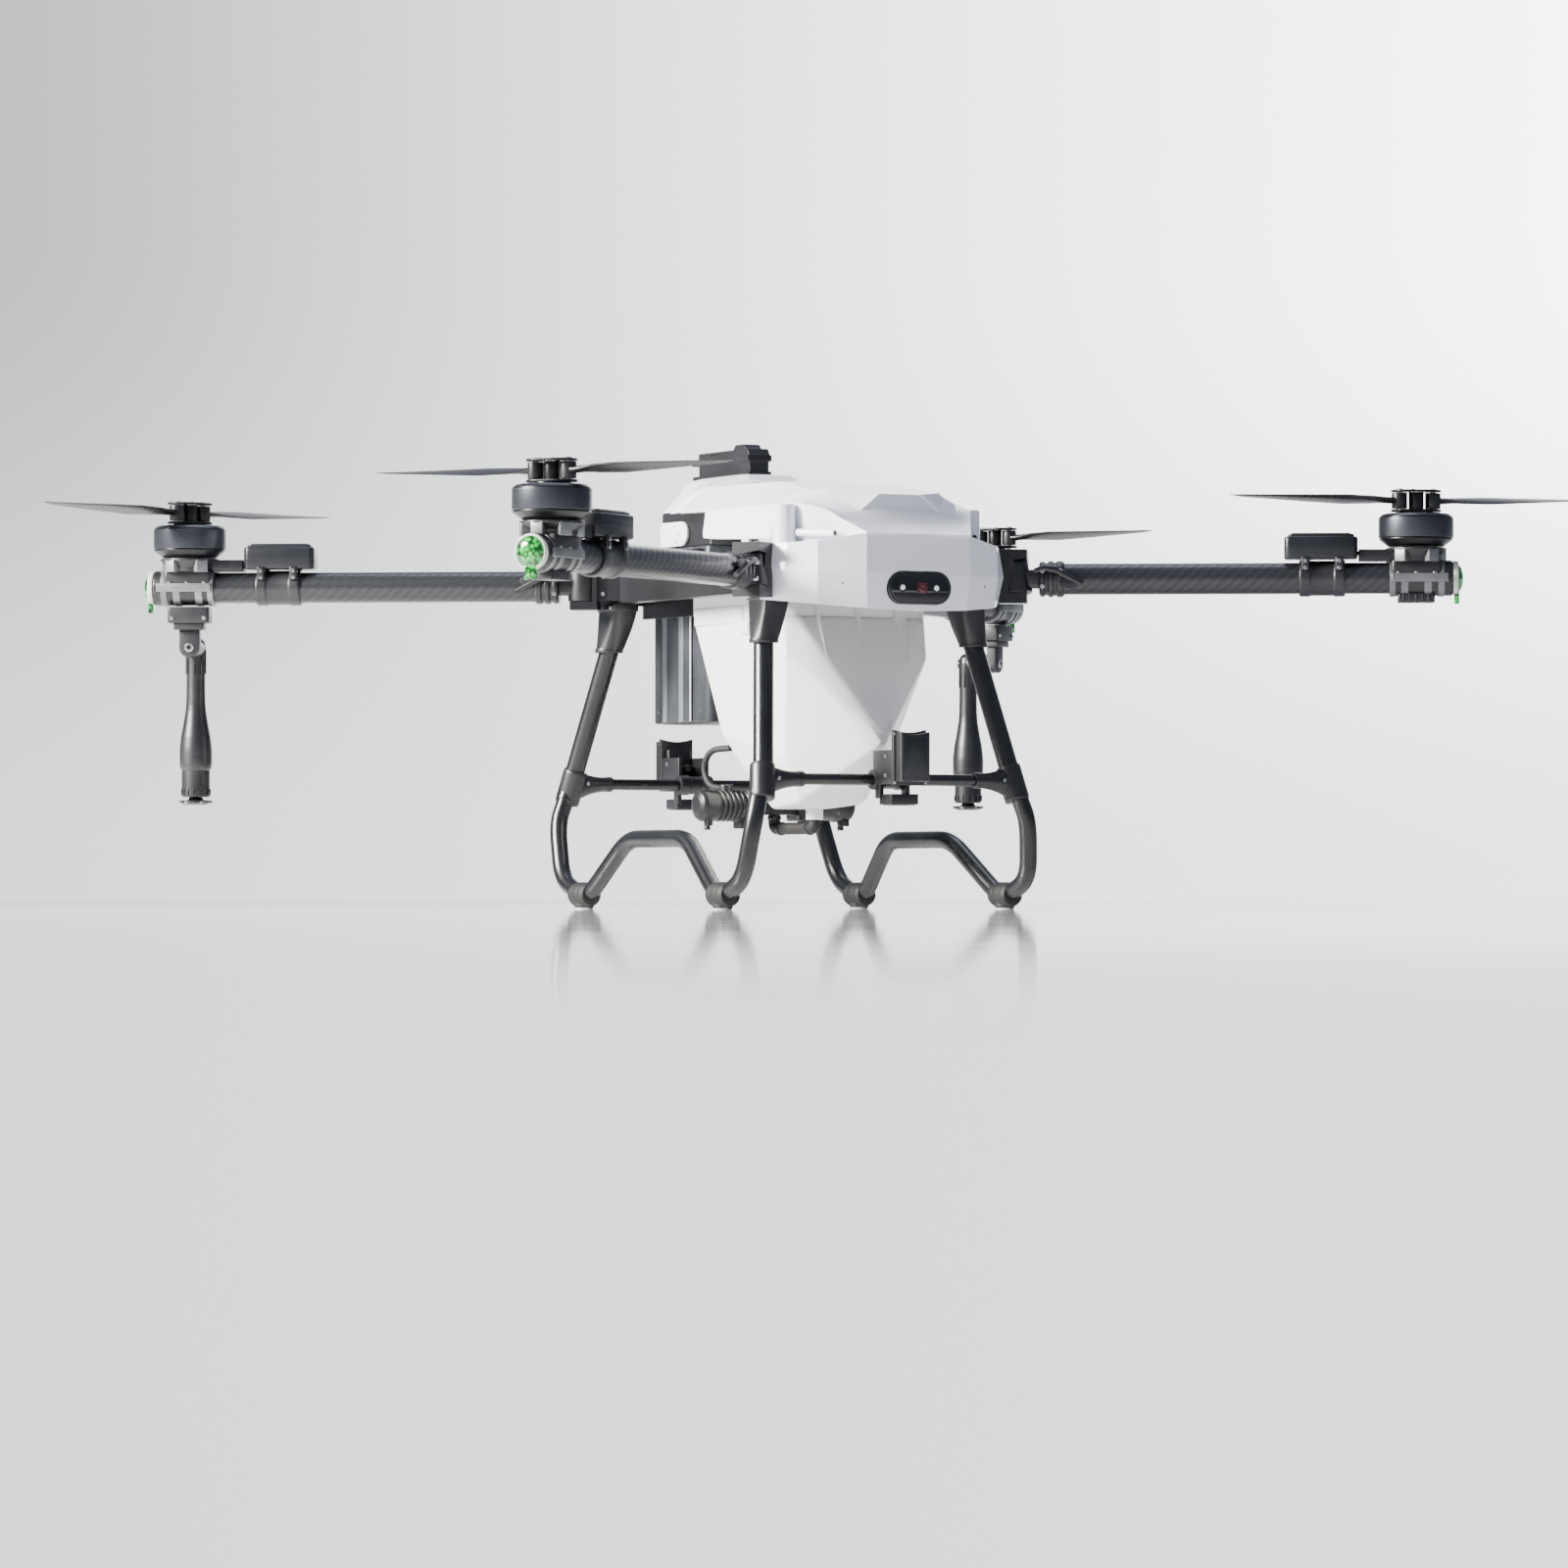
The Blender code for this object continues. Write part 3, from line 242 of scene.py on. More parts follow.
def tube_look():
    """Carbon fibre tube: epoxy over dark fibre. The outer ply is nine tapes wound at a slant, seen as broad
    satin and darker stripes 17.5 mm apart, and the fibre's own lines run along them 1.6 mm apart, drawn
    coarser than real."""
    look, shader, _ = new_look("carbon_tube", IOR=1.5, Coat_Weight=0.25, Coat_Roughness=0.16)
    strip = add(look, "ShaderNodeUVMap")
    apart = add(look, "ShaderNodeSeparateXYZ", sockets={0: strip.outputs[0]})
    slant = add(look, "ShaderNodeMath", {"operation": "MULTIPLY_ADD"},
                {0: apart.outputs["X"], 1: TAPE_STARTS * TAPE_PITCH / (2 * math.pi * TUBE_R),
                 2: apart.outputs["Y"]})
    turns = add(look, "ShaderNodeMath", {"operation": "MULTIPLY"},
                {0: slant.outputs[0], 1: 2 * math.pi / TAPE_PITCH})
    wave = add(look, "ShaderNodeMath", {"operation": "SINE"}, {0: turns.outputs[0]})
    fine = add(look, "ShaderNodeMath", {"operation": "MULTIPLY"},
               {0: slant.outputs[0], 1: 2 * math.pi / FIBRE_PITCH})
    fibre = add(look, "ShaderNodeMath", {"operation": "SINE"}, {0: fine.outputs[0]})
    tape = add(look, "ShaderNodeMapRange", {"interpolation_type": "SMOOTHSTEP"},
               {"Value": wave.outputs[0], "From Min": -0.5, "From Max": 0.7})
    colour = add(look, "ShaderNodeMix", {"data_type": "RGBA"},
                 {0: tape.outputs[0], 6: linear("#0d0e12"), 7: linear("#1c1e24")})
    wire(look, colour.outputs[2], shader, "Base Color")
    gloss = add(look, "ShaderNodeMapRange", sockets={"Value": tape.outputs[0], "To Min": 0.44,
                                                     "To Max": 0.33})
    wire(look, gloss.outputs[0], shader, "Roughness")
    both = add(look, "ShaderNodeMath", {"operation": "MULTIPLY_ADD"},
               {0: fibre.outputs[0], 1: 0.25, 2: tape.outputs[0]})
    bump = add(look, "ShaderNodeBump", sockets={"Strength": 0.12, "Distance": 0.0002,
                                                "Height": both.outputs[0]})
    wire(look, bump.outputs[0], shader, "Normal")
    return look


def grained_look(name, dark, light, rough, grain_mm, bump=0.12, patch=0.12, **constants):
    """Moulded or coated surface: a fine grain for the texture, and slow patches between two near colours."""
    look, shader, place = new_look(name, **constants)
    slow = add(look, "ShaderNodeTexNoise", sockets={"Vector": place.outputs["Object"], "Scale": 9.0,
                                                    "Detail": 3.0})
    tone = add(look, "ShaderNodeMapRange",
               sockets={"Value": slow.outputs[0], "From Min": 0.5 - patch, "From Max": 0.5 + patch})
    colour = add(look, "ShaderNodeMix", {"data_type": "RGBA"}, {0: tone.outputs[0], 6: linear(dark),
                                                                7: linear(light)})
    wire(look, colour.outputs[2], shader, "Base Color")
    grain = add(look, "ShaderNodeTexNoise",
                sockets={"Vector": place.outputs["Object"], "Scale": 1000.0 / grain_mm, "Detail": 2.0})
    gloss = add(look, "ShaderNodeMapRange",
                sockets={"Value": slow.outputs[0], "To Min": rough - 0.05, "To Max": rough + 0.07})
    wire(look, gloss.outputs[0], shader, "Roughness")
    raised = add(look, "ShaderNodeBump", sockets={"Strength": bump, "Distance": 0.0002,
                                                  "Height": grain.outputs[0]})
    wire(look, raised.outputs[0], shader, "Normal")
    return look


carbon_tube = tube_look()
# glass-filled nylon, spark-eroded mould: satin, nearly black with a bluish sheen
nylon = grained_look("moulded_nylon", "#0f1012", "#191a1e", 0.36, 0.9, IOR=1.52, Specular_IOR_Level=0.55)
# zinc-plated and stainless screws: bright turned metal
steel = grained_look("stainless_steel", "#a9abad", "#c6c8ca", 0.26, 0.6, bump=0.05, Metallic=1.0)

ALONG_X = Matrix.Rotation(math.pi / 2, 4, "Y")
TUBE_START, TIP_REACH = 0.070, 0.0585
corner_at, pin_axis, arm_length = {}, {}, {}
for name in CORNERS:
    hinge = Vector(joints[f"arm_{name}_fold"]["pos_m"])
    motor = Vector(joints[f"rotor_{name}_spin"]["pos_m"])
    out = Vector((motor.x - hinge.x, motor.y - hinge.y, 0))
    corner_at[name] = stand(hinge, out)
    arm_length[name] = out.length
    pin = Vector(joints[f"arm_{name}_fold"]["axis"])
    pin_axis[name] = corner_at[name].to_3x3().transposed() @ (pin if pin.z > 0 else -pin)


def wound_tube(low, high, steps=64, rows=40):
    """The tube's skin, its UV in metres: u runs round the circumference and v along the length."""
    x = np.linspace(low, high, rows)
    profile = np.concatenate([[(0, low), (TUBE_R - 0.0008, low)], np.stack([np.full(rows, TUBE_R), x], -1),
                              [(TUBE_R - 0.0008, high), (0, high)]])
    return turned(profile, steps)


def unwrap(made, where):
    """Writes each face corner's UV as (angle * radius, distance along) about the arm's own X."""
    mesh = made.data
    local = np.array(where.inverted(), float)
    co = np.zeros(len(mesh.vertices) * 3)
    mesh.vertices.foreach_get("co", co)
    co = co.reshape(-1, 3) @ local[:3, :3].T + local[:3, 3]
    vertex = np.zeros(len(mesh.loops), int)
    mesh.loops.foreach_get("vertex_index", vertex)
    turn = np.arctan2(co[:, 2], co[:, 1])[vertex]
    starts = np.zeros(len(mesh.polygons), int)
    totals = np.zeros(len(mesh.polygons), int)
    mesh.polygons.foreach_get("loop_start", starts)
    mesh.polygons.foreach_get("loop_total", totals)
    first = np.repeat(turn[starts], totals)
    turn = first + (turn - first + math.pi) % (2 * math.pi) - math.pi
    layer = mesh.uv_layers.new(name="UVMap")
    layer.data.foreach_set("uv", np.stack([turn * TUBE_R, co[vertex, 0]], -1).ravel())


def bolt(radius, low, high):
    """A cap screw's head along Z, with an eased rim and a sunk round socket."""
    rim, depth = 0.2 * radius, 0.5 * radius
    return turned([(0, low), (radius, low), (radius, high - rim), (radius - rim, high), (0.5 * radius, high),
                   (0.45 * radius, high - depth), (0, high - depth)], 24)


for name in CORNERS:
    where, length = corner_at[name], arm_length[name]
    side = 1 if name[1] == "l" else -1
    barrel = turned(eased([(0, -0.025), (0.024, -0.025), (0.024, 0.025), (0, 0.025)], 0.0015), 48)
    barrel = set_at(barrel, stand((0, 0, 0), (1, 0, 0), pin_axis[name]))
    neck = set_at(round_box(0.0150, 0.0160, 0.004, 0.060, 0.006), stand((0, 0, 0), (0, 0, -1), (1, 0, 0)))
    ribs = [(0, 0.038), (0.0255, 0.038), (0.0285, 0.041), (0.0285, 0.046), (0.0262, 0.0475),
            (0.0262, 0.052), (0.0290, 0.0535), (0.0290, 0.0600), (0.0268, 0.0615), (0.0268, 0.0655),
            (0.0290, 0.067), (0.0290, 0.0745), (0.0262, 0.0785), (0, 0.0785)]
    root = set_at(turned(eased(ribs, 0.0008, 3), 56), ALONG_X)
    lever_line = [(0.030, 0.0, 0.012), (0.046, 0.0, 0.0165), (0.066, 0.0, 0.0135), (0.086, 0.0, 0.002),
                  (0.108, 0.0, -0.009)]
    lever = swept(np.array(lever_line) + (0, -side * 0.0285, 0), [0.0035, 0.006, 0.0062, 0.0058, 0.0045],
                  16, (0, 1, 0))
    plate_outline = [(0.084 + 0.0135 * math.cos(t) * (1.2 if math.cos(t) > 0 else 1),
                      0.009 * math.sin(t) - 0.008) for t in np.radians(np.arange(0, 360, 15))]
    plate = set_at(slab(plate_outline, 0.0240, 0.0305, 0.001), Matrix.Rotation(side * math.pi / 2, 4, "X"))
    screws = [set_at(bolt(0.0036, 0.028, 0.0338), stand((x, 0, z), (1, 0, 0), (0, -side, 0)))
              for x, z in ((0.0725, 0.0120), (0.0435, 0.0125), (0.0435, -0.0125))]
    pin_cap = set_at(bolt(0.0085, 0.0240, 0.0272), stand((0, 0, 0), (1, 0, 0), pin_axis[name]))
    piece(f"arm_root_{name}", [set_at(s, where) for s in (barrel, neck, root, lever, plate)]
          + [(*set_at(s, where), 1) for s in screws + [pin_cap]], [nylon, steel], f"arm_{name}",
          "black_plastic")
    skin_of_tube = set_at(set_at(wound_tube(TUBE_START, length + TIP_REACH), ALONG_X), where)
    tube = piece(f"arm_tube_{name}", [skin_of_tube], [carbon_tube], f"arm_{name}", "carbon_tube",
                 f"arm_{name}")
    unwrap(tube, where)

# ======================================================================== motor mounts
# Cast aluminium clamps, split and bolted round the tube under each motor, bead blasted grey. Black polymer
# bands sit between the clamp's bright ribs, and light posts carry the motor's base ring.
cast = grained_look("cast_aluminium", "#6f7173", "#8b8d8f", 0.40, 0.8, Metallic=0.75, bump=0.15)
MOUNT_BASE = 0.0262
tips = {}
for name in CORNERS:
    where = corner_at[name] @ Matrix.Translation((arm_length[name], 0, 0))
    tips[name] = where
    rear = name[0] == "r"
    bands = []
    for x0, x1, r in ((-0.0425, -0.0330, 0.0300), (-0.0245, -0.0125, 0.0300), (0.0125, 0.0245, 0.0300),
                      (0.0345, 0.0450, 0.0300)):
        bands.append(set_at(turned(eased([(0, x0), (r, x0), (r, x1), (0, x1)], 0.0012, 3), 56), ALONG_X))
    core = set_at(turned(eased([(0, -0.0420), (0.0286, -0.0420), (0.0286, 0.0560), (0.0262, 0.0585),
                                (0, 0.0585)], 0.001, 3), 56), ALONG_X)
    flanges = [round_box(0.0455, 0.0075, -0.0070, 0.0070, 0.0015, 0.001, (0.0055, s * 0.0265))
               for s in (-1, 1)]
    studs = [set_at(bolt(0.0034, 0.006, 0.0098), Matrix.Translation((x, s * 0.0300, 0)))
             for s in (-1, 1) for x in (-0.029, 0.0, 0.029)]
    saddle = round_box(0.0400, 0.0300, 0.0060, MOUNT_BASE + 0.002, 0.006, 0.002)
    ring = turned(eased([(0, MOUNT_BASE), (0.0385, MOUNT_BASE), (0.0385, 0.0345), (0.0485, 0.0440),
                         (0.0485, 0.0478), (0, 0.0478)], 0.0008, 3), 64)
    posts = []
    for t in np.radians((0, 55, 125, 180, 235, 305)):
        posts.append(set_at(round_box(0.0062, 0.0105, MOUNT_BASE - 0.001, 0.0462, 0.002, 0.001,
                                      (0.0418, 0)), Matrix.Rotation(t, 4, "Z")))
    rail = round_box(0.0300, 0.0190, 0.0268, 0.0455, 0.003, 0.0015, (-0.0620, 0))
    keel = [round_box(0.0295, 0.0165, -0.0395, -0.0240, 0.003, 0.0015),
            round_box(0.0220, 0.0120, -0.0375, -0.0260, 0.002, 0.001, (0.004, 0))]
    keel += [round_box(0.0018, 0.0168, -0.0385, -0.0250, 0.0006, 0.0004, (x, 0))
             for x in (-0.020, -0.010, 0.0, 0.010, 0.020)]
    bright = bands + posts + flanges
    dark = [core, ring, saddle, rail] + ([] if rear else keel)
    piece(f"motor_clamp_{name}", [set_at(s, where) for s in bright] + [(*set_at(s, where), 1) for s in dark]
          + [(*set_at(s, where), 2) for s in studs], [cast, nylon, steel], f"arm_{name}", "cast_aluminium",
          f"motor_mount_{name}")

# ======================================================================== tip lights
# A clear green moulded lens in a pale bezel on each arm's end. Facets moulded inside it scatter its own LEDs,
# so the green is deepest at the rim and breaks into bright cells in the middle.
lens_look, shader, place = new_look("green_lens", Roughness=0.08, IOR=1.49, Transmission_Weight=0.35,
                                    Coat_Weight=0.6)
cells = add(lens_look, "ShaderNodeTexVoronoi", sockets={"Vector": place.outputs["Object"],
                                                        "Scale": 1000 / 7.0})
shade = add(lens_look, "ShaderNodeMapRange", sockets={"Value": cells.outputs["Distance"], "From Min": 0.05,
                                                      "From Max": 0.65})
green = add(lens_look, "ShaderNodeMix", {"data_type": "RGBA"}, {0: shade.outputs[0], 6: linear("#35e060"),
                                                                7: linear("#023c0c")})
wire(lens_look, green.outputs[2], shader, "Base Color")
wire(lens_look, green.outputs[2], shader, "Emission Color")
shader.inputs["Emission Strength"].default_value = 0.35
facets = add(lens_look, "ShaderNodeBump", sockets={"Strength": 0.8, "Distance": 0.0012,
                                                   "Height": cells.outputs["Distance"]})
wire(lens_look, facets.outputs[0], shader, "Normal")
bezel = grained_look("pale_bezel", "#b9bcb4", "#d2d5cc", 0.35, 0.8, bump=0.05)

for name in CORNERS:
    where = tips[name]
    dome = eased([(0, 0.0595), (0.0240, 0.0595), (0.0240, 0.0665), (0.0180, 0.0720), (0.0100, 0.0750),
                  (0, 0.0755)], 0.002, 3)
    lens = set_at(turned(dome, 40), ALONG_X)
    rim = eased([(0.0238, 0.0590), (0.0275, 0.0590), (0.0275, 0.0655), (0.0255, 0.0672), (0.0238, 0.0672),
                 (0.0238, 0.0590)], 0.0006, 2)
    tab = round_box(0.0040, 0.0090, -0.0400, -0.0200, 0.0015, 0.001, (0.0645, 0))
    feet = [round_box(0.0035, 0.0025, -0.0415, -0.0360, 0.001, 0.0005, (0.0650, s * 0.0065)) for s in (-1, 1)]
    piece(f"tip_lens_{name}", [set_at(s, where) for s in [lens, tab] + feet]
          + [(*set_at(set_at(turned(rim, 48), ALONG_X), where), 1)], [lens_look, bezel], f"arm_{name}",
          "green_lens", f"tip_light_{name}")

# ======================================================================== speed controllers
# The controller of each motor in a dark die-cast case just inboard of it, on a band clamped round the tube
# with four screws. A row of low fins runs along its top and its outer end is rounded.
case_look = grained_look("anodised_case", "#1b1d22", "#26282e", 0.34, 0.7, Metallic=0.35, Coat_Weight=0.1)
CASE_IN, CASE_OUT, CASE_LOW, CASE_HIGH = -0.2105, -0.0935, 0.0300, 0.0705
for name in CORNERS:
    where = tips[name]
    middle = (CASE_IN + CASE_OUT) / 2
    half = (CASE_OUT - CASE_IN) / 2
    body = round_box(half, 0.0272, CASE_LOW, CASE_HIGH - 0.004, 0.009, 0.004, (middle, 0))
    lid = round_box(half - 0.006, 0.0225, CASE_HIGH - 0.006, CASE_HIGH, 0.006, 0.0018, (middle, 0))
    fins = [round_box(half - 0.012, 0.0009, CASE_HIGH - 0.001, CASE_HIGH + 0.0016, 0.0004, 0.0003,
                      (middle, y)) for y in np.linspace(-0.017, 0.017, 7)]
    seam = round_box(half + 0.0004, 0.0276, 0.0470, 0.0482, 0.009, 0.0003, (middle, 0))
    band = set_at(turned(eased([(0.0252, -0.1865), (0.0285, -0.1865), (0.0295, -0.1840), (0.0295, -0.1700),
                                (0.0280, -0.1685), (0.0280, -0.1315), (0.0295, -0.1300), (0.0295, -0.1160),
                                (0.0285, -0.1135), (0.0252, -0.1135), (0.0252, -0.1865)], 0.0008, 3), 56),
                  ALONG_X)
    lugs = [round_box(0.0065, 0.0060, 0.0120, 0.0335, 0.0025, 0.001, (x, s * 0.0245))
            for x in (-0.177, -0.123) for s in (-1, 1)]
    heads = [set_at(bolt(0.0030, 0.0300, 0.0325), stand((x, 0, z), (1, 0, 0), (0, s, 0)))
             for x in (-0.177, -0.123) for z in (0.016, 0.027) for s in (-1, 1)]
    leads = [swept([(-0.0950, y, 0.0400), (-0.0880, y, 0.0400), (-0.0750, y * 0.8, 0.0330),
                    (-0.0560, y * 0.6, 0.0330)], 0.0028, 12) for y in (-0.012, 0.0, 0.012)]
    piece(f"speed_controller_{name}", [set_at(s, where) for s in [body, lid] + fins]
          + [(*set_at(s, where), 1) for s in [band, seam] + lugs + leads]
          + [(*set_at(s, where), 2) for s in heads], [case_look, nylon, steel], f"arm_{name}",
          "cast_aluminium", f"esc_{name}")

# ======================================================================== motors
# Outrunner motors: the can turns, machined from aluminium and dark anodised, with a lighter turned band
# between two chamfers. A folding propeller's hub of two plates is screwed on top.
can_look, shader, place = new_look("anodised_can", Metallic=0.85, Anisotropic=0.3)
apart = add(can_look, "ShaderNodeSeparateXYZ", sockets={0: place.outputs["Object"]})
rings = add(can_look, "ShaderNodeTexNoise", {"noise_dimensions": "1D"},
            {"W": apart.outputs["Z"], "Scale": 1000 / 0.8, "Detail": 3.0})
tone = add(can_look, "ShaderNodeMix", {"data_type": "RGBA"}, {0: rings.outputs[0], 6: linear("#2e3136"),
                                                              7: linear("#54585f")})
wire(can_look, tone.outputs[2], shader, "Base Color")
gloss = add(can_look, "ShaderNodeMapRange", sockets={"Value": rings.outputs[0], "To Min": 0.24,
                                                     "To Max": 0.40})
wire(can_look, gloss.outputs[0], shader, "Roughness")
turning = add(can_look, "ShaderNodeBump", sockets={"Strength": 0.1, "Distance": 0.0001,
                                                   "Height": rings.outputs[0]})
wire(can_look, turning.outputs[0], shader, "Normal")
black_metal = grained_look("black_anodised", "#0e0f11", "#17181c", 0.30, 0.7, Metallic=0.4, bump=0.06)

for name in CORNERS:
    low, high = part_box(f"rotor_{name}")
    motor = Vector(joints[f"rotor_{name}_spin"]["pos_m"])
    pins = [Vector(joints[f"blade_{name}_{w}_fold"]["pos_m"]) for w in "ab"]
    z0, top = low.z, high.z
    where = stand((motor.x, motor.y, 0), pins[0] - pins[1])
    can = turned(eased([(0, z0), (0.044, z0), (0.0575, z0 + 0.0115), (0.0575, z0 + 0.0135),
                        (0.0600, z0 + 0.0145), (0.0600, z0 + 0.0450), (0.0590, z0 + 0.0458),
                        (0.0590, z0 + 0.0468), (0.0575, z0 + 0.0490), (0.0540, z0 + 0.0520),
                        (0.030, z0 + 0.0520), (0.0285, z0 + 0.0535), (0, z0 + 0.0535)], 0.0008, 3), 72)
    skirt = turned(eased([(0.0440, z0 - 0.0001), (0.0585, z0 + 0.0108), (0.0585, z0 + 0.0132),
                          (0.0450, z0 + 0.0132), (0.0440, z0 - 0.0001)], 0.0006, 2), 72)
    crown = turned(eased([(0.0535, z0 + 0.0518), (0.0592, z0 + 0.0474), (0.0596, z0 + 0.0452),
                          (0.0500, z0 + 0.0450), (0.0500, z0 + 0.0525), (0.0535, z0 + 0.0518)], 0.0004, 2),
                   72)
    spokes = [set_at(round_box(0.0085, 0.0016, z0 + 0.0515, z0 + 0.0532, 0.0012, 0.0006, (0.0405, 0)),
                     Matrix.Rotation(t, 4, "Z")) for t in np.arange(12) * math.pi / 6]
    boss = turned(eased([(0, z0 + 0.0520), (0.0275, z0 + 0.0520), (0.0275, z0 + 0.0560), (0, z0 + 0.0560)],
                        0.0008, 2), 56)
    outline = [(0.0155 * s + 0.0255 * math.cos(t), 0.0255 * math.sin(t))
               for s, a in ((1, -90), (-1, 90)) for t in np.radians(np.arange(a, a + 181, 12))]
    low_plate = slab(outline, z0 + 0.0560, z0 + 0.0595, 0.0008)
    high_plate = slab(outline, top - 0.0035, top - 0.0002, 0.0010)
    waist = turned(eased([(0, z0 + 0.0560), (0.0120, z0 + 0.0560), (0.0120, top - 0.0010),
                          (0, top - 0.0010)], 0.0005, 2), 32)
    cap = turned(eased([(0, top - 0.004), (0.0150, top - 0.004), (0.0150, top - 0.0008),
                        (0.0095, top + 0.0008), (0.0080, top - 0.0006), (0, top - 0.0006)], 0.0004, 2), 40)
    nuts = [set_at(bolt(0.0056, top - 0.0010, top + 0.0022), Matrix.Translation((s * 0.028, 0, 0)))
            for s in (-1, 1)]
    pins_shape = [set_at(turned([(0, z0 + 0.056), (0.0040, z0 + 0.056), (0.0040, top), (0, top)], 20),
                         Matrix.Translation((s * 0.028, 0, 0))) for s in (-1, 1)]
    plate_screws = [set_at(bolt(0.0022, top - 0.0010, top + 0.0012), Matrix.Translation((x, y, 0)))
                    for x in (-0.011, 0.011) for y in (-0.017, 0.017)]
    dark = [skirt, crown, boss, low_plate, high_plate, waist] + spokes
    bright = [cap] + nuts + pins_shape + plate_screws
    piece(f"motor_{name}", [set_at(can, where)] + [(*set_at(s, where), 1) for s in dark]
          + [(*set_at(s, where), 2) for s in bright], [can_look, black_metal, steel], f"rotor_{name}",
          "gunmetal", f"rotor_{name}")

# ======================================================================== propeller blades
# Moulded carbon-filled nylon, a pair on each hub, each on its own pin so that it folds. A round boss at the
# root, then an aerofoil whose chord, thickness and pitch fall away to a narrow tip.
blade_look = grained_look("blade_nylon", "#0d0e10", "#17181b", 0.34, 1.2, IOR=1.5, bump=0.08)
PROP_R, PIN_OUT = 0.310, 0.028
SPIN = {"fl": 1, "rr": 1, "fr": -1, "rl": -1}


def aerofoil(reach, spin, around=28, rows=36):
    """Sections x = c/2 * cos t, y = h/2 * sin t * (1 + 0.35 cos t) turned by the pitch: chord c, thickness h,
    pitch and lift each run smoothly through their values at a few stations out along the blade."""
    stations = np.array([0.006, 0.018, 0.045, 0.090, 0.160, 0.235, 0.262, reach])
    x = np.linspace(0, 1, rows) ** 0.9 * (reach - 0.006) + 0.006
    values = [(0.0200, 0.0215, 0.0345, 0.0425, 0.0375, 0.0250, 0.0190, 0.0040),
              (0.0105, 0.0098, 0.0072, 0.0057, 0.0043, 0.0028, 0.0022, 0.0010),
              (2, 6, 15, 17, 13, 9, 7.5, 5), (0, 0, 0.0005, 0.0010, 0.0024, 0.0040, 0.0047, 0.0060)]
    chord, thick, pitch, lift = (np.interp(x, stations, v) for v in values)
    pitch = np.radians(pitch) * spin
    t = np.linspace(0, 2 * math.pi, around, endpoint=False)
    u = 0.5 * np.outer(chord, np.cos(t)) * spin
    v = 0.5 * np.outer(thick, np.sin(t) * (1 + 0.35 * np.cos(t)))
    cos, sin = np.cos(pitch)[:, None], np.sin(pitch)[:, None]
    grid = np.stack([np.broadcast_to(x[:, None], u.shape), u * cos - v * sin, lift[:, None] + u * sin
                     + v * cos], -1)
    return skin(grid, True, True)


for name in CORNERS:
    for which in "ab":
        pin = Vector(joints[f"blade_{name}_{which}_fold"]["pos_m"])
        motor = Vector(joints[f"rotor_{name}_spin"]["pos_m"])
        where = stand(pin, (pin.x - motor.x, pin.y - motor.y, 0))
        boss = turned(eased([(0.0048, -0.0125), (0.0125, -0.0125), (0.0125, 0.0125), (0.0048, 0.0125),
                             (0.0048, -0.0125)], 0.0009, 3), 40)
        foil = aerofoil(PROP_R - PIN_OUT, SPIN[name])
        piece(f"propeller_{name}_{which}", [set_at(foil, where), set_at(boss, where)], [blade_look],
              f"blade_{name}_{which}", "carbon_blade", f"blade_{name}_{which}", sharp=40)

# ======================================================================== spray nozzles
# Centrifugal sprayers under the two rear arms, moulded in black nylon. Each barrel hangs from a hinge on a
# bracket clamped under the motor, holds a small motor in its flared lower half, and spins a toothed disc.
NOZZLE_BODY = [(0, 0.1854), (0.0228, 0.1854), (0.0235, 0.1885), (0.0235, 0.2290), (0.0238, 0.2300),
               (0.0258, 0.2335), (0.0268, 0.2400), (0.0270, 0.2450), (0.0270, 0.2620), (0.0266, 0.2680),
               (0.0248, 0.2850), (0.0205, 0.3080), (0.0172, 0.3280), (0.0160, 0.3420), (0.0155, 0.3700),
               (0.0155, 0.4080), (0.0162, 0.4200), (0.0166, 0.4330), (0.0150, 0.4430), (0.0095, 0.4490),
               (0, 0.4500)]
TOOTH_PAIRS = 40
white_dot = grained_look("ceramic_tips", "#c9cac6", "#e6e6e2", 0.40, 0.8, bump=0.05)

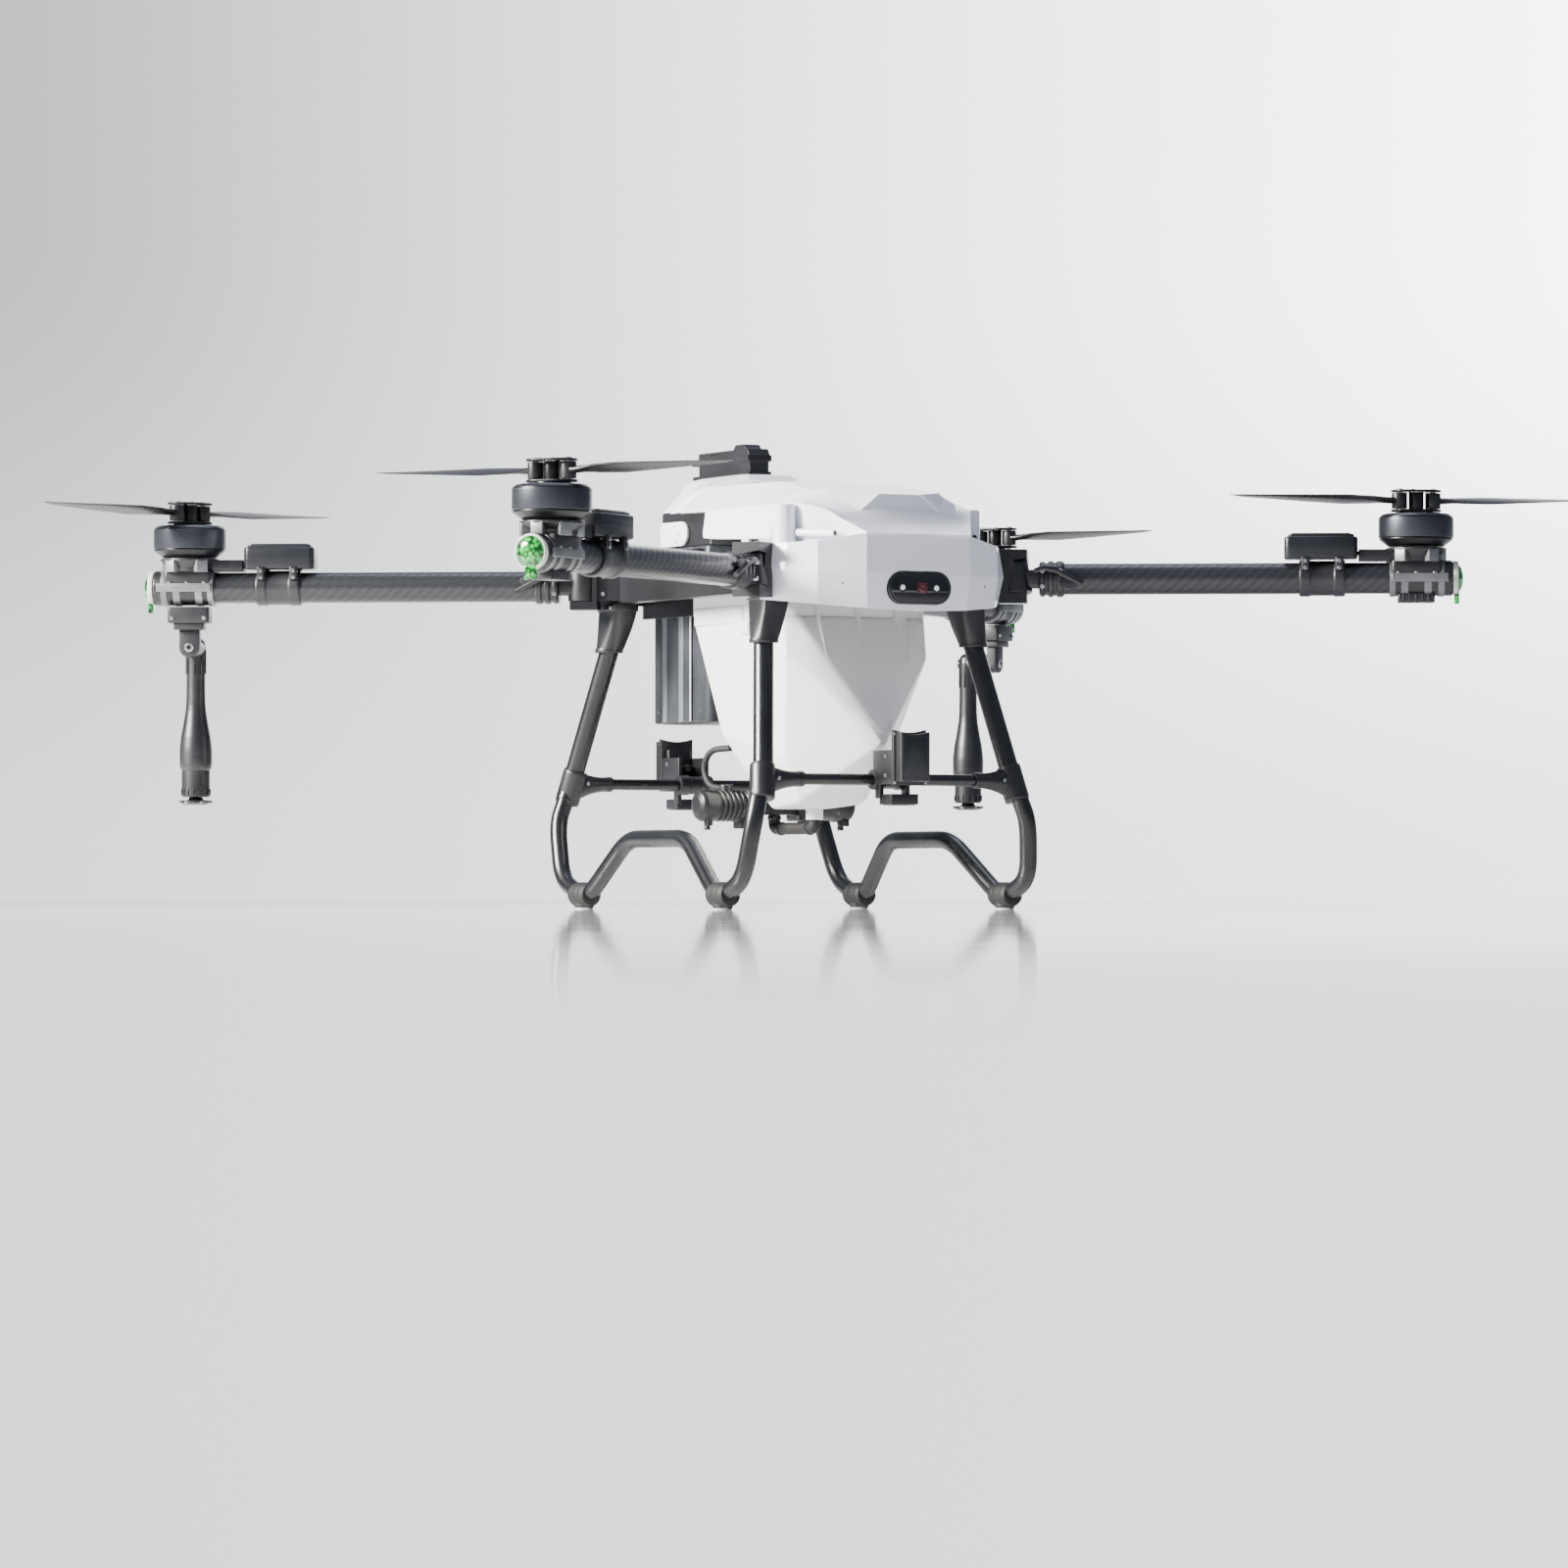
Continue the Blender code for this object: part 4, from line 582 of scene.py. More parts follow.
for name in ("rl", "rr"):
    side = 1 if name == "rl" else -1
    pivot = Vector(joints[f"nozzle_{name}_tilt"]["pos_m"])
    spin = Vector(joints[f"nozzle_disc_{name}_spin"]["pos_m"])
    out = corner_at[name].to_3x3() @ Vector((1, 0, 0))
    under = stand((pivot.x, pivot.y, 0), out)
    hang = stand((spin.x, spin.y, 0), out)
    cradle = round_box(0.0345, 0.0205, 0.4720, 0.4985, 0.004, 0.0015)
    waist = round_box(0.0250, 0.0165, 0.4610, 0.4740, 0.003, 0.0015)
    lug = slab([(x * 0.0170, 0.4320 + 0.0165 * z) for x, z in ((-1, 2.1), (1, 2.1), (1, 0))]
               + [(0.0170 * math.cos(t), 0.4320 - 0.0170 * math.sin(t))
                  for t in np.radians(np.arange(15, 180, 15))] + [(-0.0170, 0.4320)], -0.0085, 0.0085,
               0.0015)
    lug = set_at(lug, Matrix.Rotation(math.pi / 2, 4, "X"))
    bolts = [set_at(bolt(0.0032, 0.0090, 0.0118), stand((x, 0, 0.4800), (1, 0, 0),
                                                        (0, s, 0)) @ Matrix.Translation((0, 0, 0.0110)))
             for x in (-0.027, 0.027) for s in (-1, 1)]
    pin = set_at(bolt(0.0075, 0.0082, 0.0115), stand(pivot - Vector((pivot.x, pivot.y, 0)), (1, 0, 0),
                                                     (0, -side, 0)))
    piece(f"nozzle_clamp_{name}", [set_at(s, under) for s in (cradle, waist, lug)]
          + [(*set_at(s, under), 1) for s in bolts + [pin]], [nylon, steel], f"arm_{name}", "black_plastic",
          f"nozzle_bracket_{name}")
    barrel = turned(eased(NOZZLE_BODY, 0.002, 3), 56)
    seams = [turned([(r - 0.002, z - 0.0012), (r + 0.0005, z - 0.0008), (r + 0.0005, z + 0.0008),
                     (r - 0.002, z + 0.0012)], 56) for r, z in ((0.0235, 0.2020), (0.0270, 0.2520),
                                                                (0.0162, 0.3400))]
    ear = set_at(turned(eased([(0, 0.0092), (0.0160, 0.0092), (0.0160, 0.0520), (0, 0.0520)], 0.0015, 3), 40),
                 stand(pivot, out, (Vector((spin.x, spin.y, 0)) - Vector((pivot.x, pivot.y, 0)))))
    knob = set_at(turned(eased([(0, 0.0600), (0.0085, 0.0600), (0.0085, 0.0700), (0, 0.0700)], 0.001, 2), 24),
                  stand(pivot, out, (Vector((spin.x, spin.y, 0)) - Vector((pivot.x, pivot.y, 0)))))
    ribs = [set_at(round_box(0.0008, 0.0175, 0.3900, 0.4300, 0.0005, 0.0004), Matrix.Rotation(t, 4, "Z"))
            for t in np.arange(4) * math.pi / 4]
    skirt_cuts = [set_at(round_box(0.0014, 0.0010, 0.1890, 0.1990, 0.0006, 0.0004, (0.0236, 0)),
                         Matrix.Rotation(t, 4, "Z")) for t in np.arange(16) * math.pi / 8]
    piece(f"nozzle_housing_{name}", [set_at(s, hang) for s in [barrel] + seams + ribs + skirt_cuts]
          + [ear, knob], [nylon], f"nozzle_{name}", "black_plastic", f"nozzle_barrel_{name}")
    t = np.arange(4 * TOOTH_PAIRS) * math.pi / (2 * TOOTH_PAIRS)
    r = np.where(np.arange(4 * TOOTH_PAIRS) % 4 < 2, 0.0275, 0.0257)
    rim = slab(np.stack([r * np.cos(t), r * np.sin(t)], -1), 0.1764, 0.1792, 0.0003)
    bowl = turned(eased([(0, 0.1728), (0.0190, 0.1728), (0.0258, 0.1764), (0.0258, 0.1792),
                         (0.0130, 0.1806), (0.0110, 0.1851), (0, 0.1851)], 0.0008, 2), 56)
    tips_white = [set_at(round_box(0.0016, 0.0022, 0.1752, 0.1782, 0.0006, 0.0004, (0.0245, 0)),
                         Matrix.Rotation(a, 4, "Z")) for a in np.arange(6) * math.pi / 3]
    piece(f"nozzle_disc_{name}_wheel", [set_at(s, hang) for s in (rim, bowl)]
          + [(*set_at(s, hang), 1) for s in tips_white], [nylon, white_dot], f"nozzle_disc_{name}",
          "black_plastic", f"nozzle_disc_{name}")

# ======================================================================== landing gear
# Aluminium tube, powder coated satin black. Four legs come down from moulded sockets under the beams, each
# side runs on as one bent tube with two low points on rubber collars, and two cross tubes tie the sides.
coated = grained_look("powder_coat", "#08090b", "#101216", 0.27, 0.5, IOR=1.5, Specular_IOR_Level=0.6,
                      bump=0.10)
rubber = grained_look("black_rubber", "#0c0c0d", "#151516", 0.62, 1.0, bump=0.2)
pad_look = grained_look("pale_pad", "#c6c8cb", "#dcdee0", 0.45, 1.0, bump=0.08)
SLEEVE_R, RAIL_R, CROSS_R = 0.0160, 0.0143, 0.00925
LEG = {"f": np.array([(0.1900, -0.2400, 0.445), (0.2270, -0.3050, 0.2200), (0.2390, -0.3121, 0.1818)]),
       "r": np.array([(0.1900, 0.2660, 0.445), (0.2270, 0.3340, 0.2200), (0.2390, 0.3388, 0.1818)])}


def ring_to_box(low_ring, high_box, rows=14, around=48):
    """A socket that goes from a rectangle to a circle: each row is (1 - s) * box + s * ring, s = t^1.3."""
    t = np.linspace(0, 2 * math.pi, around, endpoint=False)
    (cx, cy, r, z0), (bx, by, hx, hy, z1) = low_ring, high_box
    power = 7.0
    squareness = (np.abs(np.cos(t)) ** power + np.abs(np.sin(t)) ** power) ** (-1 / power)
    box_xy = np.stack([bx + hx * squareness * np.cos(t), by + hy * squareness * np.sin(t)], -1)
    ring_xy = np.stack([cx + r * np.cos(t), cy + r * np.sin(t)], -1)
    rows_out = []
    for s in np.linspace(0, 1, rows):
        k = s ** 1.3
        rows_out.append(np.column_stack([(1 - k) * box_xy + k * ring_xy,
                                         np.full(around, z1 + (z0 - z1) * s)]))
    return skin(np.array(rows_out), True, True)


for name in CORNERS:
    mirror = Matrix.Diagonal((1 if name[1] == "l" else -1, 1, 1, 1))
    leg = LEG[name[0]]
    y0 = leg[0][1]
    inward = -0.0066 if name[0] == "f" else 0.0069
    fine = eased(leg, 0.020, 6)
    tube = swept(np.concatenate([leg[:1] + (leg[:1] - leg[1:2]) * 0.12, fine[1:]]), SLEEVE_R, 40, (0, 1, 0))
    socket = ring_to_box((0.1935, y0 + inward, 0.0222, 0.4222), (0.1810, y0, 0.0232, 0.0300, 0.4905))
    plate = round_box(0.0236, 0.0308, 0.4890, 0.5017, 0.004, 0.0015, (0.1810, y0))
    lip = set_at(turned(eased([(0, -0.0030), (0.0234, -0.0030), (0.0234, 0.0040), (0, 0.0040)], 0.001, 2),
                        48), Matrix.Translation((0.1935, y0 + inward, 0.4245)))
    # painted shade: small dark rubber discs on each socket stand in for the shade inside its holes
    painted_hole_shades = [set_at(turned([(0, 0), (0.0027, 0), (0.0027, 0.0012), (0, 0.0012)], 20),
                    stand((0.1810 + dx, y0 + dy, z), (0, 0, 1), (0, math.copysign(1, y0), -0.2)))
             for dx, dy, z in ((0.010, math.copysign(0.0270, y0), 0.462),
                               (0.001, math.copysign(0.0240, y0), 0.4450))]
    bolts = [set_at(bolt(0.0036, 0.0, 0.0028), stand((0.2042, y0 + dy, 0.4955), (0, 1, 0), (1, 0, 0)))
             for dy in (-0.020, 0.020)]
    piece(f"leg_{name}", [set_at(tube, mirror)] + [(*set_at(s, mirror), 1) for s in (socket, plate, lip)]
          + [(*set_at(s, mirror), 2) for s in painted_hole_shades] + [(*set_at(s, mirror), 3) for s in bolts],
          [coated, nylon, rubber, steel], "airframe", "black_tube", f"leg_upper_{name}")

FOOT_X, FOOT_Y = 0.2605, 0.234
front_run = [(0.2395, -0.3124, 0.1800), (0.2520, -0.3198, 0.1403), (0.2620, -0.3040, 0.0480),
             (0.2605, -0.2440, 0.0235), (0.2605, -0.2140, 0.0235), (0.2450, -0.0900, 0.1136)]
rear_run = [(0.2450, 0.1100, 0.1136), (0.2605, 0.2140, 0.0235), (0.2605, 0.2440, 0.0235),
            (0.2620, 0.3080, 0.0480), (0.2520, 0.3440, 0.1403), (0.2395, 0.3390, 0.1800)]
rail_path = eased(front_run + rear_run, 0.034, 10)
for side in "lr":
    mirror = Matrix.Diagonal((1 if side == "l" else -1, 1, 1, 1))
    tube = swept(rail_path, RAIL_R, 40, (1, 0, 0))
    collars, pads = [], []
    for y in (-FOOT_Y, FOOT_Y):
        profile = [(0, -0.0260), (0.0172, -0.0260), (0.0186, -0.0235), (0.0200, -0.0190), (0.0205, -0.0120),
                   (0.0198, -0.0105), (0.0198, -0.0085), (0.0205, -0.0070), (0.0205, 0.0070),
                   (0.0198, 0.0085), (0.0198, 0.0105), (0.0205, 0.0120), (0.0200, 0.0190), (0.0186, 0.0235),
                   (0.0172, 0.0260), (0, 0.0260)]
        collars.append(set_at(turned(eased(profile, 0.0008, 2), 48),
                              stand((FOOT_X, y, 0.0235), (1, 0, 0), (0, 1, 0))))
        collars.append(set_at(turned(eased([(0, 0.0022), (0.0158, 0.0022), (0.0158, 0.0120), (0, 0.0120)],
                                           0.0008, 2), 40), Matrix.Translation((FOOT_X, y, 0))))
        pads.append(set_at(turned(eased([(0, 0.0), (0.0135, 0.0), (0.0148, 0.0012), (0.0148, 0.0034),
                                         (0, 0.0034)], 0.0006, 2), 40), Matrix.Translation((FOOT_X, y, 0))))
    seams = [set_at(turned(eased([(0, -0.0014), (0.0166, -0.0014), (0.0166, 0.0014), (0, 0.0014)], 0.0004,
                                 2), 40), stand(p, (0, 1, 0), q))
             for p, q in (((0.2393, -0.3123, 0.1806), (0.30, -0.17, -0.93)),
                          ((0.2393, 0.3389, 0.1806), (0.30, 0.12, -0.94)))]
    piece(f"skid_{side}", [set_at(tube, mirror)] + [(*set_at(s, mirror), 1) for s in collars]
          + [(*set_at(s, mirror), 2) for s in pads] + [(*set_at(s, mirror), 0) for s in seams],
          [coated, rubber, pad_look], "airframe", "black_tube", f"side_rail_{side}")

for end in ("front", "rear"):
    tee = Vector(joints[f"radar_{end}_tilt"]["pos_m"]) + Vector((0.2295, 0, 0))
    leg = LEG[end[0]]
    run = Vector(leg[1] - leg[0]).normalized()
    shapes = [set_at(turned([(0, -tee.x + 0.012), (CROSS_R, -tee.x + 0.012), (CROSS_R, tee.x - 0.012),
                             (0, tee.x - 0.012)], 32), stand((0, tee.y, tee.z), (0, 1, 0), (1, 0, 0)))]
    fittings, screws = [], []
    for flip in (1, -1):
        mirror = Matrix.Diagonal((flip, 1, 1, 1))
        ring = set_at(turned(eased([(0, -0.034), (0.0192, -0.034), (0.0203, -0.030), (0.0203, 0.020),
                                    (0.0192, 0.024), (0, 0.024)], 0.0015, 3), 48),
                      stand(tee, (0, 1, 0), -run))
        t = np.radians(np.arange(0, 360, 15))
        horn = []
        for s in np.linspace(0, 1, 12):
            x = tee.x - 0.006 - 0.058 * s
            horn.append(np.stack([np.full(t.size, x), tee.y + (0.0120 + 0.0022 * (1 - s)) * np.cos(t),
                                  tee.z + (0.0122 + 0.0150 * (1 - s) ** 2.2) * np.sin(t) - 0.002 * (1 - s)],
                                 -1))
        horn = skin(np.array(horn), True, True)
        cuff = set_at(turned(eased([(0, 0), (0.0128, 0), (0.0128, 0.0085), (0, 0.0085)], 0.001, 2), 32),
                      stand((tee.x - 0.0725, tee.y, tee.z), (0, 1, 0), (1, 0, 0)))
        fittings += [set_at(s, mirror) for s in (ring, horn, cuff)]
        screws += [set_at(set_at(bolt(0.0030, 0.0, 0.0022),
                                 stand((tee.x - 0.022, tee.y + s * 0.0142, tee.z + 0.0010), (1, 0, 0),
                                       (0, s, 0))), mirror) for s in (-1, 1)]
    piece(f"cross_bar_{end}", shapes + [(*s, 1) for s in fittings] + [(*s, 2) for s in screws],
          [coated, nylon, steel], "airframe", "black_tube", f"cross_tube_{end}")

# ======================================================================== radars
# A square phased-array radar at the front and the rear, in black nylon cases with a sunk window. Each hangs
# on a fork and a clamp round the cross tube, and tilts about it. The case's top edge is dished.
window_look = grained_look("radar_window", "#16181c", "#1e2126", 0.22, 2.0, bump=0.04, IOR=1.5)


def dished(half_x, z0, z1, dip, power=2.0, steps=15):
    """A rectangle whose top edge sags: z = z1 - dip * (1 - |x / half_x|^power)."""
    x = np.linspace(half_x, -half_x, steps)
    top = z1 - dip * (1 - np.abs(x / half_x) ** power)
    return np.concatenate([[(-half_x, z0), (half_x, z0)], np.stack([x, top], -1)])


for end in ("front", "rear"):
    clamp = Vector(joints[f"radar_{end}_tilt"]["pos_m"])
    where = stand(clamp, (1, 0, 0)) if end == "front" else stand(clamp, (-1, 0, 0))
    upright = Matrix.Rotation(math.pi / 2, 4, "X")
    case = set_at(slab(dished(0.0265, -0.0040, 0.0740, 0.0040), 0.0630, 0.0850, 0.0025), upright)
    rim = set_at(slab(dished(0.0300, -0.0100, 0.0780, 0.0045), 0.0590, 0.0670, 0.0015), upright)
    pane = set_at(slab(dished(0.0215, 0.0020, 0.0670, 0.0030), 0.0840, 0.0856, 0.0006), upright)
    fork = [round_box(0.0034, 0.0310, -0.0080, 0.0460, 0.0015, 0.001, (s * 0.0255, -0.0310)) for s in (-1, 1)]
    knuckle = set_at(turned(eased([(0, -0.0310), (0.0155, -0.0310), (0.0165, -0.0290), (0.0165, -0.0120),
                                   (0.0148, -0.0100), (0.0148, 0.0100), (0.0165, 0.0120), (0.0165, 0.0290),
                                   (0.0155, 0.0310), (0, 0.0310)], 0.001, 2), 40),
                     stand((0, 0, 0), (0, 1, 0), (1, 0, 0)))
    bar = round_box(0.0255, 0.0195, -0.0400, -0.0232, 0.003, 0.0012, (0, -0.0325))
    stays = [round_box(0.0036, 0.0080, -0.0300, -0.0050, 0.001, 0.0008, (s * 0.0240, -0.0125))
             for s in (-1, 1)]
    back = round_box(0.0215, 0.0060, 0.0080, 0.0600, 0.003, 0.0015, (0, -0.0550))
    plug = set_at(turned(eased([(0, 0), (0.0060, 0), (0.0060, 0.0130), (0.0042, 0.0140), (0.0042, 0.0180),
                                (0, 0.0180)], 0.0006, 2), 28),
                  stand((-0.010, -0.0500, 0.030), (1, 0, 0), (0, 1, 0)))
    screws = [set_at(bolt(0.0022, 0.0, 0.0018), stand((x, -0.0668, z), (1, 0, 0), (0, -1, 0)))
              for x in (-0.0283, 0.0283) for z in (-0.006, 0.071)]
    screws += [set_at(bolt(0.0030, 0.0, 0.0024), stand((s * 0.0288, -0.040, z), (0, 1, 0), (s, 0, 0)))
               for s in (-1, 1) for z in (0.006, 0.036)]
    fins = [round_box(0.0200, 0.0010, -0.0412, -0.0395, 0.0006, 0.0004, (0, y))
            for y in np.linspace(-0.048, -0.018, 6)]
    piece(f"radar_{end}_case", [set_at(s, where) for s in [case, rim, knuckle, bar, back, plug] + fork
                                + stays + fins] + [(*set_at(pane, where), 1)]
          + [(*set_at(s, where), 2) for s in screws], [nylon, window_look, steel], f"radar_{end}",
          "black_plastic", f"radar_{end}")

# ======================================================================== pumps and hose
# Two diaphragm pumps side by side behind and below the tank, ribbed black housings with a port block in
# between, and a rubber hose that brings the liquid round from the outlet under the tank.
PUMP_Y, PUMP_Z = 0.0620, 0.1686
for side in "lr":
    flip = 1 if side == "l" else -1
    profile = [(0, 0.0400), (0.0210, 0.0400), (0.0255, 0.0440), (0.0255, 0.0560)]
    for n in range(6):
        x = 0.0580 + 0.0090 * n
        profile += [(0.0262, x), (0.0262, x + 0.0040), (0.0228, x + 0.0052), (0.0228, x + 0.0078)]
    profile += [(0.0262, 0.1130), (0.0262, 0.1360), (0.0225, 0.1420), (0.0130, 0.1458), (0, 0.1460)]
    if side == "l":
        profile = [(0, 0.0400), (0.0210, 0.0400), (0.0255, 0.0440), (0.0262, 0.0600), (0.0262, 0.0720),
                   (0.0236, 0.0735), (0.0236, 0.1080), (0.0262, 0.1095), (0.0262, 0.1340), (0.0220, 0.1400),
                   (0.0140, 0.1456), (0, 0.1460)]
    body = set_at(turned(eased(profile, 0.0008, 2), 56), stand((0, PUMP_Y, PUMP_Z), (0, 1, 0), (1, 0, 0)))
    head = round_box(0.0130, 0.0250, PUMP_Z - 0.0250, PUMP_Z + 0.0250, 0.006, 0.003, (0.0480, PUMP_Y))
    ears = [round_box(0.0050, 0.0035, PUMP_Z - 0.0330, PUMP_Z - 0.0180, 0.0015, 0.001, (x, PUMP_Y - 0.012))
            for x in (0.066, 0.128)]
    foot = round_box(0.0100, 0.0140, PUMP_Z - 0.0375, PUMP_Z - 0.0120, 0.002, 0.0015, (0.0600, PUMP_Y))
    spigot = turned(eased([(0, PUMP_Z - 0.0400), (0.0048, PUMP_Z - 0.0400), (0.0055, PUMP_Z - 0.0370),
                           (0.0048, PUMP_Z - 0.0340), (0.0055, PUMP_Z - 0.0310), (0.0055, PUMP_Z - 0.0200),
                           (0, PUMP_Z - 0.0200)], 0.0005, 2), 28)
    spigot = set_at(spigot, Matrix.Translation((0.1250, PUMP_Y, 0)))
    dome = set_at(turned(eased([(0, 0.0100), (0.0110, 0.0100), (0.0110, 0.0330), (0.0085, 0.0350),
                                (0, 0.0350)], 0.0012, 3), 32), Matrix.Translation((0.0900, PUMP_Y, PUMP_Z)))
    screws = [set_at(bolt(0.0024, 0.0, 0.0020), stand((0.0350, PUMP_Y + a, PUMP_Z + b), (0, 0, 1),
                                                      (-1, 0, 0))) for a in (-0.018, 0.018)
              for b in (-0.018, 0.018)]
    mirror = Matrix.Diagonal((flip, 1, 1, 1))
    piece(f"pump_{side}_unit", [set_at(s, mirror) for s in [body, head, foot, spigot, dome] + ears]
          + [(*set_at(s, mirror), 1) for s in screws], [nylon, steel], "airframe", "black_plastic",
          f"pump_{side}")

block = round_box(0.0396, 0.0138, PUMP_Z - 0.0150, PUMP_Z + 0.0150, 0.003, 0.002, (0, PUMP_Y))
gauge = set_at(turned(eased([(0, 0.0140), (0.0090, 0.0140), (0.0090, 0.0210), (0, 0.0210)], 0.001, 2), 32),
               Matrix.Translation((0, PUMP_Y, PUMP_Z)))
hose_line = eased([(0, PUMP_Y, PUMP_Z), (0, PUMP_Y, 0.1310), (0, -0.0700, 0.1310), (0, -0.0700, 0.1440)],
                  0.0125, 8)
hose = swept(hose_line, 0.0098, 28, (1, 0, 0))
clips = [set_at(turned(eased([(0, -0.0030), (0.0112, -0.0030), (0.0112, 0.0030), (0, 0.0030)], 0.0006, 2),
                       32), stand(p, (1, 0, 0), q))
         for p, q in (((0, PUMP_Y, 0.1490), (0, 0, 1)), ((0, -0.0560, 0.1310), (0, 1, 0)),
                      ((0, 0.0380, 0.1310), (0, 1, 0)))]
bend = eased([(-0.084, 0.058, 0.2620), (-0.098, 0.102, 0.2600), (-0.100, 0.122, 0.2300),
              (-0.098, 0.104, 0.2000), (-0.090, 0.064, 0.1960)], 0.030, 8)
return_hose = swept(bend, 0.0052, 24, (1, 0, 0))
piece("pump_port_block", [block, gauge, (*hose, 1), (*return_hose, 1)] + [(*s, 2) for s in clips],
      [nylon, rubber, nylon], "airframe", "black_plastic", "pump_manifold")

# ======================================================================== airframe
# The structural frame: two beams along the sides with a front shelf and a rear bar, black anodised, and the
# hinge blocks bolted to its corners. Their machined edges are softened, and cap screws hold each joint.
frame_look = grained_look("frame_black", "#0b0c0e", "#14161a", 0.33, 0.6, IOR=1.5, Metallic=0.15)


def softened(source, name, width, looks, body, slot_name, extra=(), segments=2):
    """A copy of a fixed mesh with doubles merged, flat faces made whole and every hard edge rounded by
    width."""
    mesh = frame["nodes"][source].data.copy()
    bm = bmesh.new()
    bm.from_mesh(mesh)
    bmesh.ops.remove_doubles(bm, verts=bm.verts, dist=1e-5)
    bmesh.ops.dissolve_limit(bm, angle_limit=math.radians(1.5), verts=bm.verts, edges=bm.edges)
    hard = [e for e in bm.edges if len(e.link_faces) == 2 and e.calc_face_angle(0) > math.radians(28)]
    bmesh.ops.bevel(bm, geom=hard, offset=width, segments=segments, profile=0.5, affect="EDGES",
                    clamp_overlap=True)
    bmesh.ops.recalc_face_normals(bm, faces=bm.faces)
    bmesh.ops.triangulate(bm, faces=[f for f in bm.faces if len(f.verts) > 4])
    points = np.array([v.co for v in bm.verts])
    faces = [[v.index for v in f.verts] for f in bm.faces]
    bm.free()
    bpy.data.meshes.remove(mesh)
    return piece(name, [(points, faces)] + list(extra), looks, body, slot_name, source, sharp=40, flat=True)


beam_bolts = [(*set_at(bolt(0.0040, 0.0, 0.0034), stand((s * 0.2001, y, z), (0, 1, 0), (s, 0, 0))), 1)
              for s in (-1, 1) for y in (-0.255, -0.225, 0.235, 0.300) for z in (0.515, 0.547)]
softened("center_frame", "frame_beams", 0.0015, [frame_look, steel], "airframe", "black_plastic", beam_bolts)
for name in CORNERS:
    where = corner_at[name]
    heads = [(*set_at(bolt(0.0034, 0.0, 0.0030), where @ stand((x, s * 0.0171, z), (1, 0, 0), (0, s, 0))), 1)
             for s in (-1, 1) for x in (-0.0355,) for z in (-0.013, 0.015)]
    heads.append((*set_at(bolt(0.0042, 0.0, 0.0026), where @ stand((-0.0145, 0, 0.0470), (1, 0, 0),
                                                                   (0, 0, 1))), 1))
    softened(f"hinge_block_{name}", f"hinge_{name}", 0.0012, [frame_look, steel], "airframe",
             "black_plastic", heads)
case = round_box(0.0495, 0.0370, 0.5124, 0.5480, 0.006, 0.003, (0, -0.2575))
case_lid = round_box(0.0440, 0.0320, 0.5470, 0.5515, 0.004, 0.0015, (0, -0.2575))
sockets = [round_box(0.0070, 0.0030, 0.5190, 0.5290, 0.001, 0.0006, (x, -0.2205))
           for x in (-0.030, -0.010, 0.010, 0.030)]
lid_bolts = [(*set_at(bolt(0.0022, 0, 0.0016), Matrix.Translation((x, -0.2575 + y, 0.5514))), 1)
             for x in (-0.039, 0.039) for y in (-0.027, 0.027)]
piece("flight_controller_case", [case, case_lid] + sockets + lid_bolts, [case_look, steel], "airframe",
      "black_plastic", "flight_controller")

# ======================================================================== tank
# Blow-moulded polyethylene, milky and a little translucent, hung by lugs on the beams. Its front folds down
# to a prow, its floor falls to an outlet, moulded ribs stiffen it, and a hinged lid closes the filler neck.
milky, shader, place = new_look("milky_polyethylene", IOR=1.51, Subsurface_Weight=0.35,
                                Subsurface_Scale=0.02, Coat_Weight=0.08)
shader.inputs["Subsurface Radius"].default_value = (1.0, 0.95, 0.85)
cloud = add(milky, "ShaderNodeTexNoise", sockets={"Vector": place.outputs["Object"], "Scale": 7.0,
                                                  "Detail": 3.0})
tone = add(milky, "ShaderNodeMix", {"data_type": "RGBA"}, {0: cloud.outputs[0], 6: linear("#d9dbdb"),
                                                           7: linear("#f1f2ef")})
wire(milky, tone.outputs[2], shader, "Base Color")
peel = add(milky, "ShaderNodeTexNoise", sockets={"Vector": place.outputs["Object"], "Scale": 260.0,
                                                 "Detail": 2.0})
gloss = add(milky, "ShaderNodeMapRange", sockets={"Value": cloud.outputs[0], "To Min": 0.34, "To Max": 0.48})
wire(milky, gloss.outputs[0], shader, "Roughness")
skin_bump = add(milky, "ShaderNodeBump", sockets={"Strength": 0.15, "Distance": 0.0004,
                                                  "Height": peel.outputs[0]})
wire(milky, skin_bump.outputs[0], shader, "Normal")


def cage(points, width=0.004, segments=3, at_least=12.0, mirrored=True):
    """The convex hull of a few corners, its flat faces made whole and its edges rounded by width."""
    points = [Vector(p) for p in points]
    if mirrored:
        points += [Vector((-p.x, p.y, p.z)) for p in points if abs(p.x) > 1e-6]
    bm = bmesh.new()
    for p in points:
        bm.verts.new(p)
    made = bmesh.ops.convex_hull(bm, input=bm.verts)
    bmesh.ops.delete(bm, geom=list({v for v in made["geom_interior"] + made["geom_unused"]
                                    if isinstance(v, bmesh.types.BMVert)}), context="VERTS")
    bmesh.ops.dissolve_limit(bm, angle_limit=math.radians(1.0), verts=bm.verts, edges=bm.edges)
    hard = [e for e in bm.edges if e.calc_face_angle(0) > math.radians(at_least)]
    bmesh.ops.bevel(bm, geom=hard, offset=width, segments=segments, profile=0.5, affect="EDGES",
                    clamp_overlap=True)
    bmesh.ops.triangulate(bm, faces=[f for f in bm.faces if len(f.verts) > 4])
    shape = np.array([v.co for v in bm.verts]), [[v.index for v in f.verts] for f in bm.faces]
    bm.free()
    return shape


